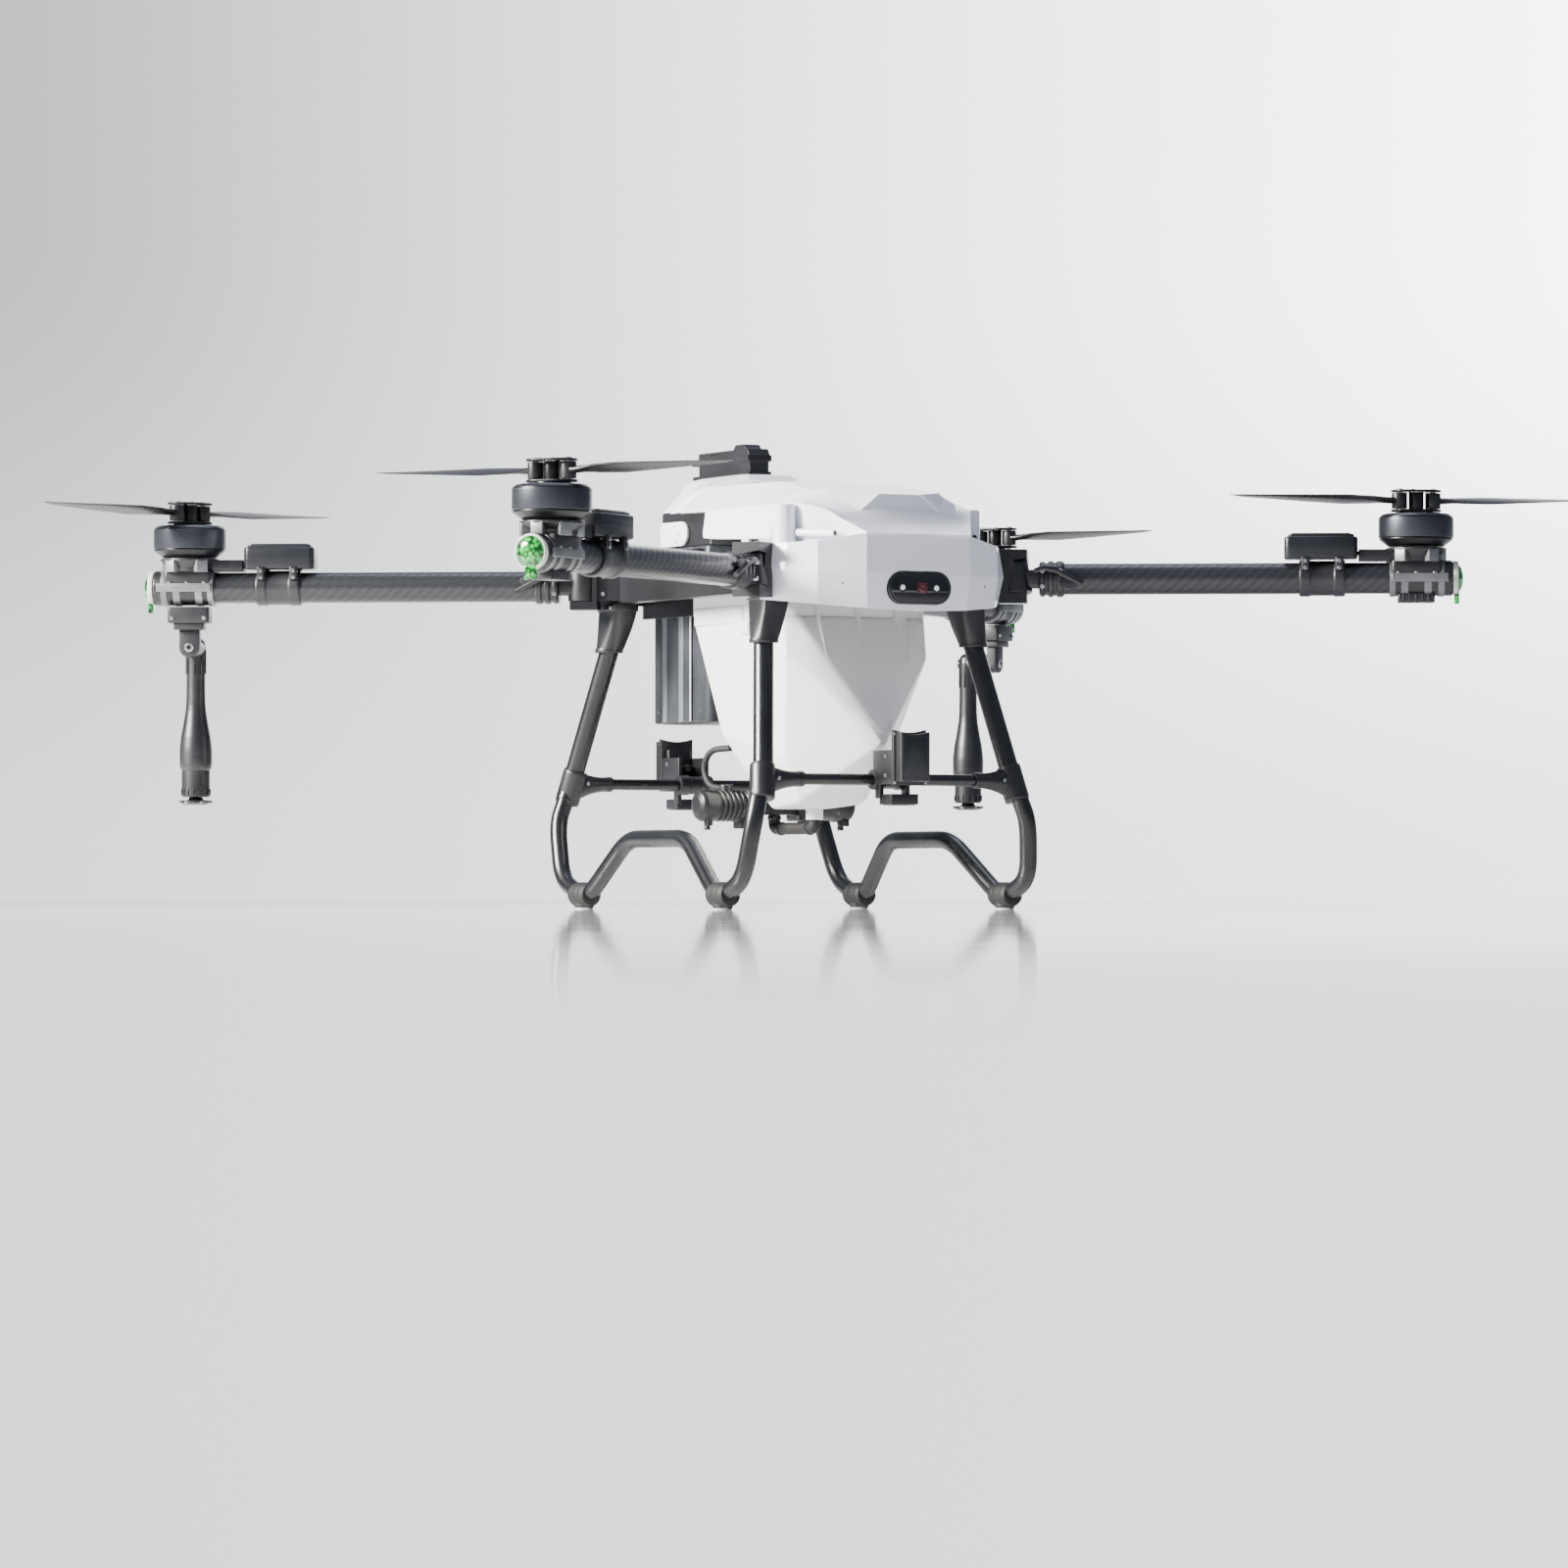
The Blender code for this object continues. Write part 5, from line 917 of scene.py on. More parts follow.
PROW = (0, -0.300, 0.266)
WAIST = 0.4700
tank_top = cage([(0.1323, -0.1948, 0.5700), (0.1148, -0.2108, 0.5700), (0.1323, -0.1948, 0.4560),
                 (0.1148, -0.2108, 0.4560), (0.1323, 0.0998, 0.5700), (0.1323, 0.0998, 0.4740)], 0.006, 4)
tank_low = cage([(0.1325, -0.1950, WAIST), (0.1150, -0.2110, WAIST), (0.1325, -0.2040, 0.4050), PROW,
                 (0.1000, -0.1440, 0.2500), (0.0600, -0.1250, 0.1700), (0, -0.1250, 0.1620),
                 (0.1325, 0.1000, 0.4750), (0.1180, 0.0950, 0.4450), (0.0960, 0.0680, 0.2850),
                 (0.0620, 0.0260, 0.2050), (0.0450, -0.0100, 0.1620)], 0.006, 4)
FRONT_SLOPE = (PROW[1] + 0.2110) / (WAIST - PROW[2])
neck = turned(eased([(0.0500, 0.5600), (0.0560, 0.5600), (0.0560, 0.6560), (0.0548, 0.6575),
                     (0.0560, 0.6590), (0.0560, 0.6635), (0.0520, 0.6635), (0.0500, 0.5600)], 0.0006, 2),
              64)
outlet = turned(eased([(0, 0.1446), (0.0140, 0.1446), (0.0140, 0.1640), (0, 0.1640)], 0.001, 2), 32)
outlet = set_at(outlet, Matrix.Translation((0, -0.0700, 0)))
front_ribs = []
for x, z0, half in ((0.075, 0.395, 0.0085), (-0.002, 0.410, 0.0035), (-0.075, 0.400, 0.0030)):
    rows = []
    for s in np.linspace(0, 1, 9):
        z, w = 0.5000 + (z0 - 0.5000) * s, half * (1 - s ** 1.5) + 0.0002
        out_by = 0.0060 * (1 - s ** 2) + 0.0001
        y_face = -0.2110 + FRONT_SLOPE * max(0.0, WAIST - z)
        rows.append([(x - w * 1.5, y_face + 0.004, z), (x - w, y_face - out_by, z),
                     (x + w, y_face - out_by, z), (x + w * 1.5, y_face + 0.004, z)])
    front_ribs.append(skin(np.array(rows), True, True))
side_ribs = [cage([(s * 0.1320, y - 0.0400, 0.4890), (s * 0.1320, y + 0.0400, 0.4890),
                   (s * 0.1350, y - 0.0385, 0.4875), (s * 0.1350, y + 0.0385, 0.4875),
                   (s * 0.1320, y - 0.0400, 0.4600), (s * 0.1320, y + 0.0400, 0.4600),
                   (s * 0.1350, y - 0.0385, 0.4615), (s * 0.1350, y + 0.0385, 0.4615)], 0.001, 2,
                  mirrored=False) for s in (-1, 1) for y in (-0.130, -0.030, 0.050)]
tabs = [cage([(s * x, y + d, z) for x in (0.1320, 0.1375) for d in (-0.0140, 0.0140)
              for z in (0.4420, 0.4640)], 0.0015, 2, mirrored=False) for s in (-1, 1) for y in (-0.080,)]
lugs = [round_box(0.0350, 0.0178, 0.5604, 0.5680, 0.004, 0.0015, (s * 0.1590, y)) for s in (-1, 1)
        for y in (-0.120, 0.050)]
lug_screws = [(*set_at(bolt(0.0050, 0.0, 0.0036), Matrix.Translation((s * 0.1850, y, 0.5678))), 1)
              for s in (-1, 1) for y in (-0.120, 0.050)]
piece("spray_tank", [tank_top, tank_low, neck, outlet] + front_ribs + side_ribs + tabs + lugs + lug_screws,
      [milky, steel], "airframe", "milky_pe", "tank", sharp=50, flat=True)

lid_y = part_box("tank_lid")[0].y + 0.0600
lid_skin = turned(eased([(0, 0.6645), (0.0560, 0.6645), (0.0600, 0.6665), (0.0600, 0.6725),
                         (0.0570, 0.6740), (0.0330, 0.6740), (0.0300, 0.6770), (0.0280, 0.6788),
                         (0, 0.6788)], 0.0008, 3), 72)
grips = [set_at(round_box(0.0018, 0.0030, 0.6655, 0.6735, 0.0010, 0.0006, (0.0592, 0)),
                Matrix.Rotation(t, 4, "Z")) for t in np.arange(36) * math.pi / 18]
bar = round_box(0.0260, 0.0055, 0.6780, 0.6795, 0.003, 0.0006)
tongue = round_box(0.0150, 0.0120, 0.6650, 0.6738, 0.003, 0.001, (0, 0.0580))
knuckle = set_at(turned([(0, -0.0150), (0.0045, -0.0150), (0.0045, 0.0150), (0, 0.0150)], 24),
                 stand((0, 0.0660, 0.6692), (0, 1, 0), (1, 0, 0)))
at_lid = Matrix.Translation((0, lid_y, 0))
piece("filler_lid", [set_at(s, at_lid) for s in [lid_skin, bar, tongue, knuckle] + grips], [nylon],
      "tank_lid", "black_plastic", "tank_lid")

# ======================================================================== battery
# The flight battery slides down behind the tank on two guides. Its case is extruded aluminium with upright
# grooves, and a white cap on top carries on the line of the body and a black carrying handle with a latch.
battery_look = grained_look("battery_case", "#33363b", "#43464c", 0.36, 0.6, Metallic=0.5, bump=0.10)
pale_highlight_look = grained_look("painted_pale_highlight", "#c9cbcf", "#e0e1e4", 0.4, 0.8, bump=0.05)
grey_highlight_look = grained_look("painted_grey_highlight", "#7b8086", "#8b9096", 0.30, 0.6, Metallic=0.6, bump=0.05)
low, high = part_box("battery")


def grooved(x0, x1, y0, y1, count, depth, corner=0.010):
    """A rounded rectangle's outline with upright grooves: it sinks by depth * (6 sin(2 pi n s) - 2.7), held
    between 0 and depth, with s running along each long side."""
    t = np.radians(np.linspace(0, 90, 7))
    ends = [np.stack([cx + corner * np.cos(t + a), cy + corner * np.sin(t + a)], -1)
            for a, cx, cy in ((0, x1 - corner, y1 - corner), (math.pi / 2, x0 + corner, y1 - corner),
                              (math.pi, x0 + corner, y0 + corner),
                              (3 * math.pi / 2, x1 - corner, y0 + corner))]
    s = np.linspace(0.02, 0.98, 12 * count)
    sunk = depth * np.clip((np.sin(2 * math.pi * count * s) - 0.45) * 6, 0, 1)
    left = np.stack([x0 + sunk, (y1 - corner) + (y0 - y1 + 2 * corner) * s], -1)
    right = np.stack([x1 - sunk, (y0 + corner) + (y1 - y0 - 2 * corner) * s], -1)
    return np.concatenate([ends[0], ends[1], left, ends[2], ends[3], right])


case = slab(grooved(low.x, high.x, low.y, high.y, 3, 0.0030), low.z, high.z, 0.003)
# painted highlights: a pale strip and two grey strips on each side stand in for bright lines on the lit,
# grooved side
highlight_strips = [round_box(0.0008, 0.0018, low.z + 0.002, high.z - 0.006, 0.0004, 0.0002,
                   (s * (high.x + 0.0002), low.y + 0.0620)) for s in (-1, 1)]
bands = [round_box(0.0008, 0.0075, low.z + 0.002, high.z - 0.006, 0.0006, 0.0004,
                   (s * (high.x + 0.0002), low.y + y)) for s in (-1, 1) for y in (0.0940, 0.1500)]
sole = round_box(0.0860, 0.0640, low.z - 0.0010, low.z + 0.0060, 0.008, 0.001,
                 (0, (low.y + high.y) / 2 + 0.020))
screws = [(*set_at(bolt(0.0026, 0, 0.0008), stand((s * high.x, y, z), (0, 1, 0), (s, 0, 0))), 2)
          for s in (-1, 1) for y in (low.y + 0.030, high.y - 0.020)
          for z in (low.z + 0.020, high.z - 0.030)]
rear_plate = round_box(0.0700, 0.0012, low.z + 0.040, high.z - 0.040, 0.001, 0.0008, (0, high.y + 0.0006))
piece("battery_pack", [case, rear_plate, sole] + [(*s, 1) for s in highlight_strips] + screws
      + [(*s, 3) for s in bands], [battery_look, pale_highlight_look, steel, grey_highlight_look], "battery", "battery_case",
      "battery")

# ======================================================================== body shell
# Thermoformed and injection-moulded ABS, painted gloss white: a facetted bumper round the nose, a dished hood
# with a raised roof block, open corners where the posts stand, and a spine back to the battery's cap.
paint, shader, place = new_look("painted_abs", IOR=1.5, Coat_Weight=0.45, Coat_Roughness=0.10)
slow = add(paint, "ShaderNodeTexNoise", sockets={"Vector": place.outputs["Object"], "Scale": 5.0,
                                                 "Detail": 2.0})
tone = add(paint, "ShaderNodeMix", {"data_type": "RGBA"}, {0: slow.outputs[0], 6: linear("#dfe2ec"),
                                                           7: linear("#eceef5")})
wire(paint, tone.outputs[2], shader, "Base Color")
gloss = add(paint, "ShaderNodeMapRange", sockets={"Value": slow.outputs[0], "To Min": 0.32, "To Max": 0.42})
wire(paint, gloss.outputs[0], shader, "Roughness")
orange_peel = add(paint, "ShaderNodeTexNoise", sockets={"Vector": place.outputs["Object"], "Scale": 420.0,
                                                        "Detail": 1.0})
peel_bump = add(paint, "ShaderNodeBump", sockets={"Strength": 0.05, "Distance": 0.0003,
                                                  "Height": orange_peel.outputs[0]})
wire(paint, peel_bump.outputs[0], shader, "Normal")
WALL = 0.0035


def loft(stations, rows):
    """Half-sections of (x, z) at a few y, carried on to many y between them and mirrored to both sides. Each
    point runs on a monotone cubic: its slope at a station is the harmonic mean of the two chords beside it,
    or zero at a turn."""
    y = np.array([s[0] for s in stations], float)
    p = np.array([s[1] for s in stations], float)
    chord = np.diff(p, axis=0) / np.diff(y)[:, None, None]
    slope = np.concatenate([chord[:1], np.where(chord[:-1] * chord[1:] > 0,
                                                2 * chord[:-1] * chord[1:] / (chord[:-1] + chord[1:]
                                                                              + 1e-12), 0), chord[-1:]])
    out_y = np.unique(np.concatenate([y, np.linspace(y[0], y[-1], rows)]))
    k = np.clip(np.searchsorted(y, out_y, side="right") - 1, 0, len(y) - 2)
    h = (y[k + 1] - y[k])[:, None, None]
    s = ((out_y - y[k])[:, None, None]) / h
    value = ((1 + 2 * s) * (1 - s) ** 2 * p[k] + s * (1 - s) ** 2 * h * slope[k]
             + s * s * (3 - 2 * s) * p[k + 1] + s * s * (s - 1) * h * slope[k + 1])
    grid = np.concatenate([value[..., :1], np.broadcast_to(out_y[:, None, None], (*value.shape[:2], 1)),
                           value[..., 1:]], -1)
    other = grid[:, :0:-1] * (-1, 1, 1)
    return skin(np.concatenate([other, grid], 1), False)


def settled(name, shape, modifiers):
    """The points and faces of a sheet once its modifiers, given as (kind, settings) pairs, are applied."""
    mesh = bpy.data.meshes.new(name)
    mesh.from_pydata(shape[0], [], np.asarray(shape[1], object).tolist())
    bm = bmesh.new()
    bm.from_mesh(mesh)
    bmesh.ops.remove_doubles(bm, verts=bm.verts, dist=1e-5)
    bmesh.ops.recalc_face_normals(bm, faces=bm.faces)
    if max(bm.faces, key=lambda f: f.calc_center_median().z).normal.z < 0:
        bmesh.ops.reverse_faces(bm, faces=bm.faces)
    bm.to_mesh(mesh)
    bm.free()
    made = bpy.data.objects.new(name, mesh)
    bpy.context.scene.collection.objects.link(made)
    for kind, settings in modifiers:
        modifier = made.modifiers.new(kind.lower(), kind)
        for key, value in settings.items():
            setattr(modifier, key, value)
    bpy.context.view_layer.update()
    done = made.evaluated_get(bpy.context.evaluated_depsgraph_get()).to_mesh()
    points = np.array([v.co for v in done.vertices])
    faces = [list(f.vertices) for f in done.polygons]
    bpy.data.objects.remove(made, do_unlink=True)
    bpy.data.meshes.remove(mesh)
    return points, faces


def helper(name, shape):
    """An unrendered object to cut with."""
    mesh = bpy.data.meshes.new(name)
    mesh.from_pydata(shape[0], [], np.asarray(shape[1], object).tolist())
    bm = bmesh.new()
    bm.from_mesh(mesh)
    bmesh.ops.remove_doubles(bm, verts=bm.verts, dist=1e-5)
    bmesh.ops.dissolve_degenerate(bm, edges=bm.edges, dist=1e-7)
    bmesh.ops.recalc_face_normals(bm, faces=bm.faces)
    bm.to_mesh(mesh)
    bm.free()
    made = bpy.data.objects.new(name, mesh)
    bpy.context.scene.collection.objects.link(made)
    made.hide_render = True
    return made


def pill_line(half_x, half_z):
    """The outline of a pill in XY: two half circles of radius half_z, joined by straight sides."""
    return [(s * (half_x - half_z) + half_z * math.cos(t), half_z * math.sin(t))
            for s, first in ((1, -90), (-1, 90)) for t in np.radians(np.arange(first, first + 181, 9))]


# each half-section runs from the middle line out to the lower edge of the side
hood = [
    (-0.4020, [(0, 0.5920), (0.037, 0.5920), (0.060, 0.5920), (0.085, 0.5920),
               (0.0950, 0.5920), (0.0955, 0.5900)]),
    (-0.3830, [(0, 0.5975), (0.037, 0.5975), (0.062, 0.5982), (0.092, 0.6005),
               (0.1060, 0.6030), (0.1020, 0.5850)]),
    (-0.3620, [(0, 0.6105), (0.037, 0.6105), (0.066, 0.6110), (0.100, 0.6120),
               (0.1185, 0.6150), (0.1080, 0.5800)]),
    (-0.3470, [(0, 0.6300), (0.037, 0.6300), (0.068, 0.6260), (0.104, 0.6230),
               (0.1275, 0.6250), (0.1150, 0.5800)]),
    (-0.3440, [(0, 0.6350), (0.036, 0.6350), (0.069, 0.6290), (0.105, 0.6250),
               (0.1290, 0.6268), (0.1160, 0.5800)]),
    (-0.3410, [(0, 0.6570), (0.037, 0.6570), (0.070, 0.6310), (0.106, 0.6270),
               (0.1310, 0.6285), (0.1175, 0.5800)]),
    (-0.3200, [(0, 0.6615), (0.062, 0.6600), (0.086, 0.6420), (0.116, 0.6360),
               (0.1440, 0.6362), (0.1300, 0.5800)]),
    (-0.3000, [(0, 0.6650), (0.091, 0.6632), (0.105, 0.6520), (0.127, 0.6440),
               (0.1520, 0.6395), (0.1430, 0.5800)]),
    (-0.2870, [(0, 0.6672), (0.104, 0.6655), (0.113, 0.6590), (0.131, 0.6500),
               (0.1530, 0.6420), (0.1480, 0.5800)]),
    (-0.2480, [(0, 0.6730), (0.098, 0.6718), (0.120, 0.6690), (0.140, 0.6570),
               (0.1550, 0.6440), (0.1540, 0.5840)]),
    (-0.2380, [(0, 0.6742), (0.096, 0.6730), (0.119, 0.6700), (0.140, 0.6580),
               (0.1660, 0.6430), (0.1800, 0.5865)]),
    (-0.1330, [(0, 0.6880), (0.060, 0.6875), (0.108, 0.6850), (0.132, 0.6690),
               (0.1640, 0.6430), (0.1800, 0.5920)]),
    (-0.0240, [(0, 0.6920), (0.050, 0.6905), (0.112, 0.6860), (0.134, 0.6680),
               (0.1640, 0.6430), (0.1800, 0.5985)]),
    (-0.0030, [(0, 0.6930), (0.050, 0.6915), (0.112, 0.6860), (0.134, 0.6680),
               (0.1620, 0.6450), (0.1645, 0.6420)]),
    (0.0600, [(0, 0.6990), (0.044, 0.6985), (0.110, 0.6870), (0.130, 0.6700),
              (0.1560, 0.6475), (0.1575, 0.6440)]),
    (0.0800, [(0, 0.7112), (0.040, 0.7105), (0.108, 0.6885), (0.128, 0.6710),
              (0.1535, 0.6485), (0.1550, 0.6450)]),
    (0.1075, [(0, 0.7115), (0.040, 0.7115), (0.104, 0.6895), (0.124, 0.6710),
              (0.1500, 0.6490), (0.1515, 0.6455)]),
]
sheet = loft(hood, 70)
filler = helper("filler_cut", set_at(turned([(0, 0.60), (0.0710, 0.60), (0.0710, 0.75), (0, 0.75)], 96),
                                     Matrix.Translation((0, lid_y, 0))))
hinge_room = helper("hinge_cut", round_box(0.0620, 0.0440, 0.60, 0.75, 0.010, 0.001, (0, lid_y + 0.0440)))
softly = ("BEVEL", {"width": 0.0028, "segments": 3, "limit_method": "ANGLE", "angle_limit": math.radians(14)})
thick = ("SOLIDIFY", {"thickness": WALL, "offset": -1.0})
hood_shape = settled("hood", sheet,
                     [softly, thick, ("BOOLEAN", {"object": filler, "operation": "DIFFERENCE",
                                                  "solver": "EXACT"}),
                      ("BOOLEAN", {"object": hinge_room, "operation": "DIFFERENCE", "solver": "EXACT"})])

# the bumper: three rows of corners, ridge, waist and lower edge, from the middle line out to each end
ridge = [(0, -0.4020, 0.5925), (0.0930, -0.3985, 0.5920), (0.1640, -0.3660, 0.5785),
         (0.1940, -0.3240, 0.5775), (0.2195, -0.2800, 0.5770), (0.1960, -0.2560, 0.5790),
         (0.1780, -0.2520, 0.5960)]
waist = [(0, -0.4040, 0.5285), (0.0950, -0.4020, 0.5285), (0.1655, -0.3690, 0.5285),
         (0.2010, -0.3280, 0.5310), (0.2210, -0.2830, 0.5500), (0.1990, -0.2560, 0.5400),
         (0.1785, -0.2520, 0.5400)]
lower = [(0, -0.3970, 0.4700), (0.0900, -0.3955, 0.4725), (0.1610, -0.3630, 0.4790),
         (0.1860, -0.3300, 0.4830), (0.2190, -0.2790, 0.4880), (0.1960, -0.2560, 0.4900),
         (0.1780, -0.2520, 0.4900)]
inner = [(0, -0.3800, 0.4745), (0.0820, -0.3780, 0.4760), (0.1500, -0.3480, 0.4820),
         (0.1740, -0.3160, 0.4860), (0.1960, -0.2820, 0.4900), (0.1850, -0.2600, 0.4910),
         (0.1740, -0.2540, 0.4910)]
floor_in = [(0, -0.3800, 0.5925), (0.0800, -0.3800, 0.5905), (0.1180, -0.3560, 0.5790),
            (0.1300, -0.3200, 0.5785), (0.1450, -0.2700, 0.5785), (0.1600, -0.2560, 0.5790),
            (0.1700, -0.2520, 0.5960)]
grid = np.array([floor_in, ridge, waist, lower, inner])
band = skin(np.concatenate([grid[:, :0:-1] * (-1, 1, 1), grid], 1), False)
standing = Matrix.Translation((0, 0, 0.5065)) @ Matrix.Rotation(math.pi / 2, 4, "X")
eye_hole = helper("eye_cut", set_at(slab(pill_line(0.0585, 0.0265), 0.360, 0.440, 0.0005), standing))
crisp = ("BEVEL", {"width": 0.0016, "segments": 2, "limit_method": "ANGLE", "angle_limit": math.radians(4)})
band_shape = settled("bumper", band,
                     [crisp, thick, ("BOOLEAN", {"object": eye_hole, "operation": "DIFFERENCE",
                                                 "solver": "EXACT"})])
for tool in (filler, hinge_room, eye_hole):
    bpy.data.objects.remove(tool, do_unlink=True)

posts, tabs, painted_hollow_shades, ticks = [], [], [], []
for s in (-1, 1):
    posts.append(set_at(turned(eased([(0, 0.5760), (0.0192, 0.5760), (0.0180, 0.5900), (0.0176, 0.6385),
                                      (0.0160, 0.6400), (0, 0.6400)], 0.001, 3), 48),
                        Matrix.Translation((s * 0.1700, -0.2710, 0))))
    tabs.append(swept([(s * 0.1560, -0.2900, 0.5950), (s * 0.1400, -0.3300, 0.5930),
                       (s * 0.1280, -0.3580, 0.5915)], [0.0062, 0.0060, 0.0055], 20, (0, 0, 1)))
    # painted shade: a dark rubber disc on each tab's end stands in for the shade inside its hollow end
    painted_hollow_shades.append(set_at(turned([(0, 0), (0.0038, 0), (0.0038, 0.0012), (0, 0.0012)], 20),
                          stand((s * 0.1278, -0.3586, 0.5915), (0, 0, 1), (-s * 0.4, -0.9, 0))))
    ticks.append(set_at(turned([(0, 0), (0.0016, 0), (0.0016, 0.0006), (0, 0.0006)], 16),
                        stand((s * 0.1300, -0.3860, 0.5120), (0, 0, 1), (s * 0.42, -0.90, 0))))
legs = [round_box(0.0030, 0.0120, 0.5606, 0.6000, 0.001, 0.0008, (s * 0.1745, -0.1575)) for s in (-1, 1)]
piece("nose_bumper", [band_shape] + posts + tabs + [(*s, 1) for s in painted_hollow_shades + ticks], [paint, rubber],
      "airframe", "white_abs", sharp=40, flat=True)
piece("hood_cover", [hood_shape] + legs, [paint], "airframe", "white_abs", "shell", sharp=40, flat=True)

# the battery's own cap, cut from the same line as the hood, over a dark carrier; a lobe on each side covers
# its lock
cap = [
    (0.1100, [(0, 0.7115), (0.040, 0.7115), (0.0700, 0.7010), (0.0945, 0.6930),
              (0.0958, 0.6910), (0.0958, 0.6560)]),
    (0.1600, [(0, 0.7115), (0.040, 0.7115), (0.0650, 0.7025), (0.0890, 0.6880),
              (0.0958, 0.6800), (0.0958, 0.6540)]),
    (0.2300, [(0, 0.7115), (0.038, 0.7112), (0.0560, 0.7010), (0.0760, 0.6820),
              (0.0900, 0.6640), (0.0930, 0.6530)]),
    (0.2850, [(0, 0.7090), (0.034, 0.7085), (0.0470, 0.6970), (0.0640, 0.6780),
              (0.0800, 0.6600), (0.0840, 0.6520)]),
    (0.3010, [(0, 0.7020), (0.031, 0.7010), (0.0430, 0.6900), (0.0600, 0.6730),
              (0.0770, 0.6580), (0.0820, 0.6515)]),
]
cap_shape = settled("cap", loft(cap, 30), [softly, thick])
back = []
for half_line, low, high in ((cap[-1][1], -0.3010, -0.2960), (cap[0][1], -0.1140, -0.1102)):
    outline = [(-x, z) for x, z in half_line[::-1]] + half_line[1:]
    back.append(set_at(slab(outline, low, high, 0.0010), Matrix.Rotation(math.pi / 2, 4, "X")))
lobe_line = [(0.2060 - 0.0205 * math.cos(t), 0.6175 + 0.0205 * math.sin(t))
             for t in np.radians(np.arange(-90, 91, 15))] + [(0.2760, 0.6380), (0.2760, 0.5970)]
lobes = [set_at(slab(lobe_line, 0.0900, 0.0962, 0.0020), stand((0, 0, 0), (0, 1, 0), (s, 0, 0))
                if s > 0 else Matrix.Diagonal((-1, 1, 1, 1)) @ stand((0, 0, 0), (0, 1, 0), (1, 0, 0)))
         for s in (-1, 1)]
carrier = round_box(0.0900, 0.0860, 0.5955, 0.6550, 0.006, 0.002, (0, 0.1980))
specks = [(*set_at(turned([(0, 0), (0.0016, 0), (0.0016, 0.0005), (0, 0.0005)], 14),
                   stand((s * 0.0962, y, z), (0, 1, 0), (s, 0, 0))), 1) for s in (-1, 1)
          for y, z in ((0.214, 0.618), (0.224, 0.630), (0.222, 0.606), (0.262, 0.628))]
piece("battery_cover", [cap_shape] + back + lobes + [(*carrier, 1)] + specks, [paint, nylon], "battery",
      "white_abs", "battery_cap", sharp=40, flat=True)
softened("battery_handle", "carry_handle", 0.0016, [nylon], "battery", "black_plastic")

# ======================================================================== camera window
# A pill of smoked acrylic in the nose with a raised black bezel. Behind it are a camera with a reddish coated
# square lens and a white lamp on either side.
smoked = grained_look("smoked_acrylic", "#07070a", "#0c0c10", 0.06, 3.0, bump=0.01, IOR=1.49, Coat_Weight=0.8)
lamp_look, shader, place = new_look("lamp", Roughness=0.2)
glow = add(lamp_look, "ShaderNodeTexNoise", sockets={"Vector": place.outputs["Object"], "Scale": 500.0})
tone = add(lamp_look, "ShaderNodeMix", {"data_type": "RGBA"}, {0: glow.outputs[0], 6: linear("#b9bdc6"),
                                                               7: linear("#ffffff")})
wire(lamp_look, tone.outputs[2], shader, "Base Color")
wire(lamp_look, tone.outputs[2], shader, "Emission Color")
shader.inputs["Emission Strength"].default_value = 0.5
red_look = grained_look("coated_lens", "#4a161f", "#7c2a38", 0.12, 2.0, bump=0.02, Coat_Weight=0.8)

bezel_ring = set_at(slab(pill_line(0.0577, 0.0257), 0.3880, 0.4045, 0.0015), standing)
glass = set_at(slab(pill_line(0.0530, 0.0212), 0.4020, 0.4052, 0.0006), standing)
square = set_at(round_box(0.0092, 0.0085, 0.4045, 0.4060, 0.002, 0.0004),
                standing @ Matrix.Translation((0.0035, 0, 0)))
lens_in = set_at(turned(eased([(0, 0.4050), (0.0060, 0.4050), (0.0060, 0.4066), (0.0045, 0.4070),
                               (0, 0.4062)], 0.0004, 2), 28), standing @ Matrix.Translation((0.0035, 0, 0)))
lamps = [set_at(turned(eased([(0, 0.4045), (0.0042, 0.4045), (0.0042, 0.4058), (0.0030, 0.4063),
                              (0, 0.4063)], 0.0004, 2), 28), standing @ Matrix.Translation((x, 0, 0)))
         for x in (-0.0320, 0.0300)]
cups = [set_at(turned(eased([(0.0042, 0.4040), (0.0075, 0.4040), (0.0075, 0.4056), (0.0042, 0.4056),
                             (0.0042, 0.4040)], 0.0004, 2), 28), standing @ Matrix.Translation((x, 0, 0)))
        for x in (-0.0320, 0.0300)]
piece("camera_pill", [bezel_ring] + [(*c, 0) for c in cups] + [(*glass, 1), (*square, 2), (*lens_in, 2)]
      + [(*l, 3) for l in lamps], [nylon, smoked, red_look, lamp_look], "airframe", "dark_glass",
      "camera_window")

# ======================================================================== stage and light
# A pale glossy floor that mirrors the feet. Near the lens and far off it gives way to a painted glow instead
# of
# lit floor: grey near the lens and the wall's low colours far off, both darker to the left as painted shade,
# the far one a painted reflection of the wall. A studio wall ahead of the lens, darker to the left, and a dim
# bluish room
# elsewhere. Two soft lights: the key from the right-hand side, and a weak one above.
WALL_STRENGTH, WALL_SPREAD, WALL_TOP = 7.0, 0.125, 0.10
HIGH_LEFT, HIGH_RIGHT, LOW_LEFT, LOW_RIGHT = "#626466", "#fdfffd", "#848687", "#afb1b1"
NEAR_GLOW_LEFT, NEAR_GLOW_RIGHT = "#86888a", "#929394"
eye = camera.location
turned_eye = -(Matrix.Rotation(view_turn, 3, "Z") @ Vector((eye.x, eye.y, 0)))
floor_look, shader, place = new_look("studio_floor", IOR=1.45, Roughness=0.04)
from_lens = add(floor_look, "ShaderNodeMapping", {"vector_type": "POINT"},
                {0: place.outputs["Object"], 1: turned_eye, 2: (0, 0, view_turn)})
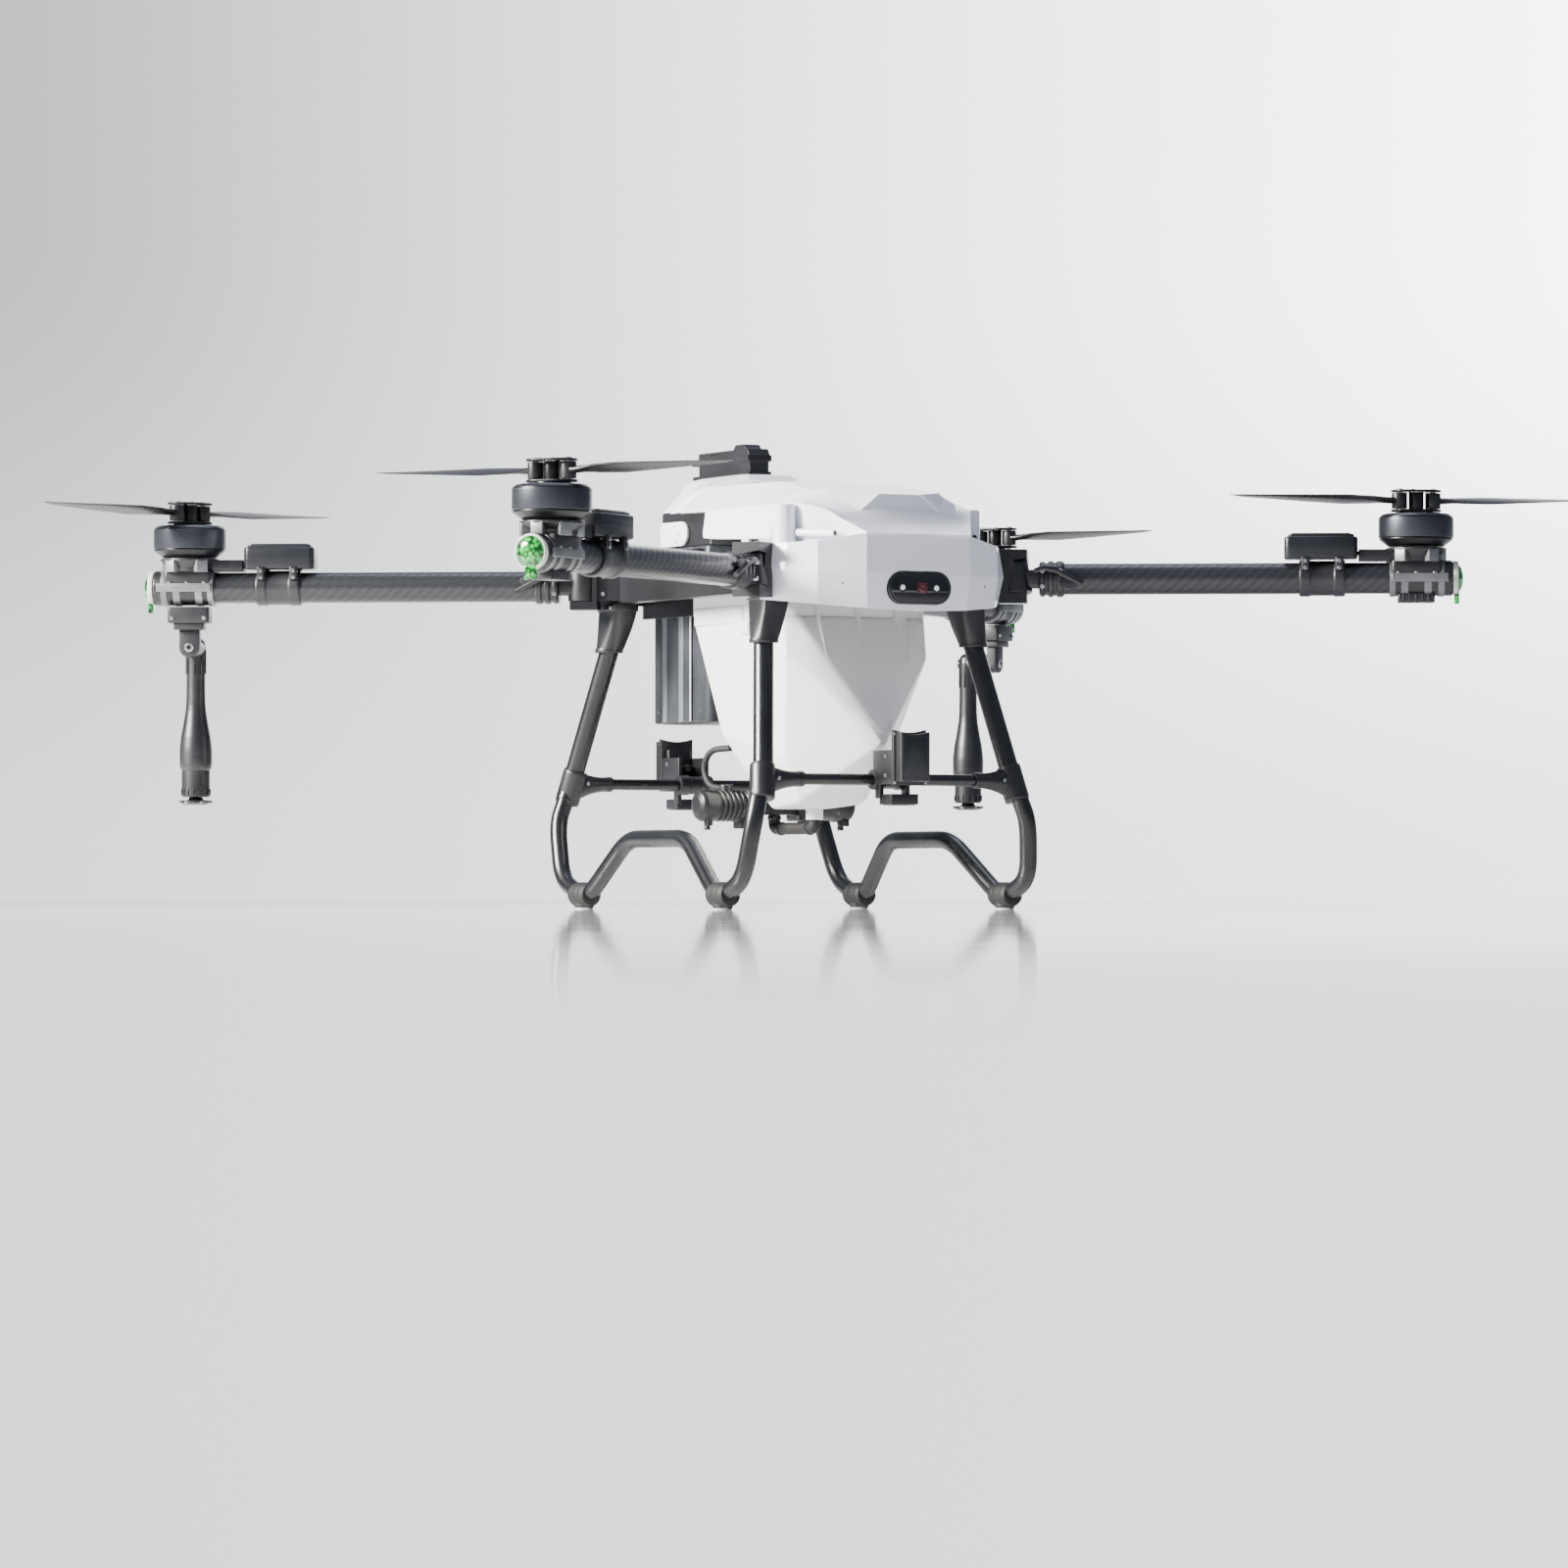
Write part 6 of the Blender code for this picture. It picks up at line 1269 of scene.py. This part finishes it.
depth = add(floor_look, "ShaderNodeSeparateXYZ", sockets={0: from_lens.outputs[0]})
sideways = add(floor_look, "ShaderNodeMath", {"operation": "DIVIDE"},
               {0: depth.outputs["X"], 1: depth.outputs["Y"]})
bearing = add(floor_look, "ShaderNodeMapRange",
              sockets={"Value": sideways.outputs[0], "From Min": -WALL_SPREAD, "From Max": WALL_SPREAD})
uneven = add(floor_look, "ShaderNodeTexNoise", sockets={"Vector": place.outputs["Object"], "Scale": 3.0,
                                                        "Detail": 2.0})
gloss = add(floor_look, "ShaderNodeMapRange", sockets={"Value": uneven.outputs[0], "To Min": 0.02,
                                                       "To Max": 0.05})
wire(floor_look, gloss.outputs[0], shader, "Roughness")
shader.inputs["Base Color"].default_value = linear("#e6e7e8")
# painted light: the floor glows in these colours near the lens and far off, darker to the left as painted
# shade
painted_floor_glows = []
for left, right in ((LOW_LEFT, LOW_RIGHT), (NEAR_GLOW_LEFT, NEAR_GLOW_RIGHT)):
    tone = add(floor_look, "ShaderNodeMix", {"data_type": "RGBA"},
               {0: bearing.outputs[0], 6: linear(left), 7: linear(right)})
    painted_floor_glows.append(add(floor_look, "ShaderNodeEmission", sockets={"Color": tone.outputs[2],
                                                                "Strength": WALL_STRENGTH}))
# the grey painted glow takes over from the glossy floor near the lens, and the wall-coloured painted glow far
# off
closeness = add(floor_look, "ShaderNodeMapRange", {"interpolation_type": "SMOOTHSTEP"},
                {"Value": depth.outputs["Y"], "From Min": 1.1, "From Max": 5.5})
distance = add(floor_look, "ShaderNodeMapRange", {"interpolation_type": "SMOOTHSTEP"},
               {"Value": depth.outputs["Y"], "From Min": 13.0, "From Max": 26.0})
mirror = add(floor_look, "ShaderNodeMixShader", sockets={0: closeness.outputs[0], 1: painted_floor_glows[1].outputs[0],
                                                         2: shader.outputs[0]})
ground = add(floor_look, "ShaderNodeMixShader", sockets={0: distance.outputs[0], 1: mirror.outputs[0],
                                                         2: painted_floor_glows[0].outputs[0]})
surface = floor_look.node_tree.nodes["Material Output"].inputs["Surface"]
floor_look.node_tree.links.new(ground.outputs[0], surface)
floor = bpy.data.objects.new("floor", bpy.data.meshes.new("floor"))
FLOOR_R = 40.0
floor.data.from_pydata([(-FLOOR_R, -FLOOR_R, 0), (FLOOR_R, -FLOOR_R, 0), (FLOOR_R, FLOOR_R, 0),
                        (-FLOOR_R, FLOOR_R, 0)], [], [(0, 1, 2, 3)])
floor.data.materials.append(floor_look)
bpy.context.scene.collection.objects.link(floor)

world = bpy.data.worlds.new("studio")
bpy.context.scene.world = world
world.use_nodes = True
sky = world.node_tree.nodes["Background"]


def world_node(kind, settings=(), sockets=()):
    """add() for the world's nodes."""
    node = world.node_tree.nodes.new(kind)
    for key, value in dict(settings).items():
        setattr(node, key, value)
    for key, value in dict(sockets).items():
        if isinstance(value, bpy.types.NodeSocket):
            world.node_tree.links.new(value, node.inputs[key])
        else:
            node.inputs[key].default_value = value
    return node


def blend(factor, one, two):
    """A mix of two colours or colour sockets by a socket."""
    ends = [linear(c) if isinstance(c, str) else c for c in (one, two)]
    return world_node("ShaderNodeMix", {"data_type": "RGBA"}, {0: factor, 6: ends[0], 7: ends[1]}).outputs[2]


def ramp(value, low, high):
    """0 to 1 as value goes from low to high, eased at both ends."""
    sockets = {"Value": value, "From Min": low, "From Max": high}
    return world_node("ShaderNodeMapRange", {"interpolation_type": "SMOOTHSTEP"}, sockets).outputs[0]


way = world_node("ShaderNodeTexCoord")
turned_way = world_node("ShaderNodeMapping", sockets={0: way.outputs["Generated"], 2: (0, 0, view_turn)})
axes = world_node("ShaderNodeSeparateXYZ", sockets={0: turned_way.outputs[0]})
across = world_node("ShaderNodeMapRange", sockets={"Value": axes.outputs["X"], "From Min": -WALL_SPREAD,
                                                   "From Max": WALL_SPREAD})
steeper = world_node("ShaderNodeMath", {"operation": "POWER"}, {0: across.outputs[0], 1: 1.6})
wall = blend(ramp(axes.outputs["Z"], 0.0, WALL_TOP), blend(across.outputs[0], LOW_LEFT, LOW_RIGHT),
             blend(steeper.outputs[0], HIGH_LEFT, HIGH_RIGHT))
room = blend(ramp(axes.outputs["Z"], -0.2, 0.9), "#292c33", "#44464f")
sky_colour = blend(ramp(axes.outputs["Y"], 0.80, 0.97), room, wall)
world.node_tree.links.new(sky_colour, sky.inputs["Color"])
sky.inputs["Strength"].default_value = WALL_STRENGTH


def soft_light(name, place_at, target, size, watts, colour):
    """A rectangular area light at place_at, facing target."""
    data = bpy.data.lights.new(name, "AREA")
    data.shape, data.size, data.size_y = "RECTANGLE", size[0], size[1]
    data.energy, data.color = watts, linear(colour)[:3]
    lamp = bpy.data.objects.new(name, data)
    bpy.context.scene.collection.objects.link(lamp)
    lamp.location = place_at
    lamp.rotation_euler = (Vector(target) - Vector(place_at)).to_track_quat("-Z", "Y").to_euler()


soft_light("key_light", (-5.2, 0.9, 2.7), (0, 0, 0.45), (1.8, 1.8), 2000, "#fffaf2")
soft_light("top_light", (0.4, 1.0, 4.6), (0, 0, 0.5), (2.4, 2.4), 60, "#eef2ff")
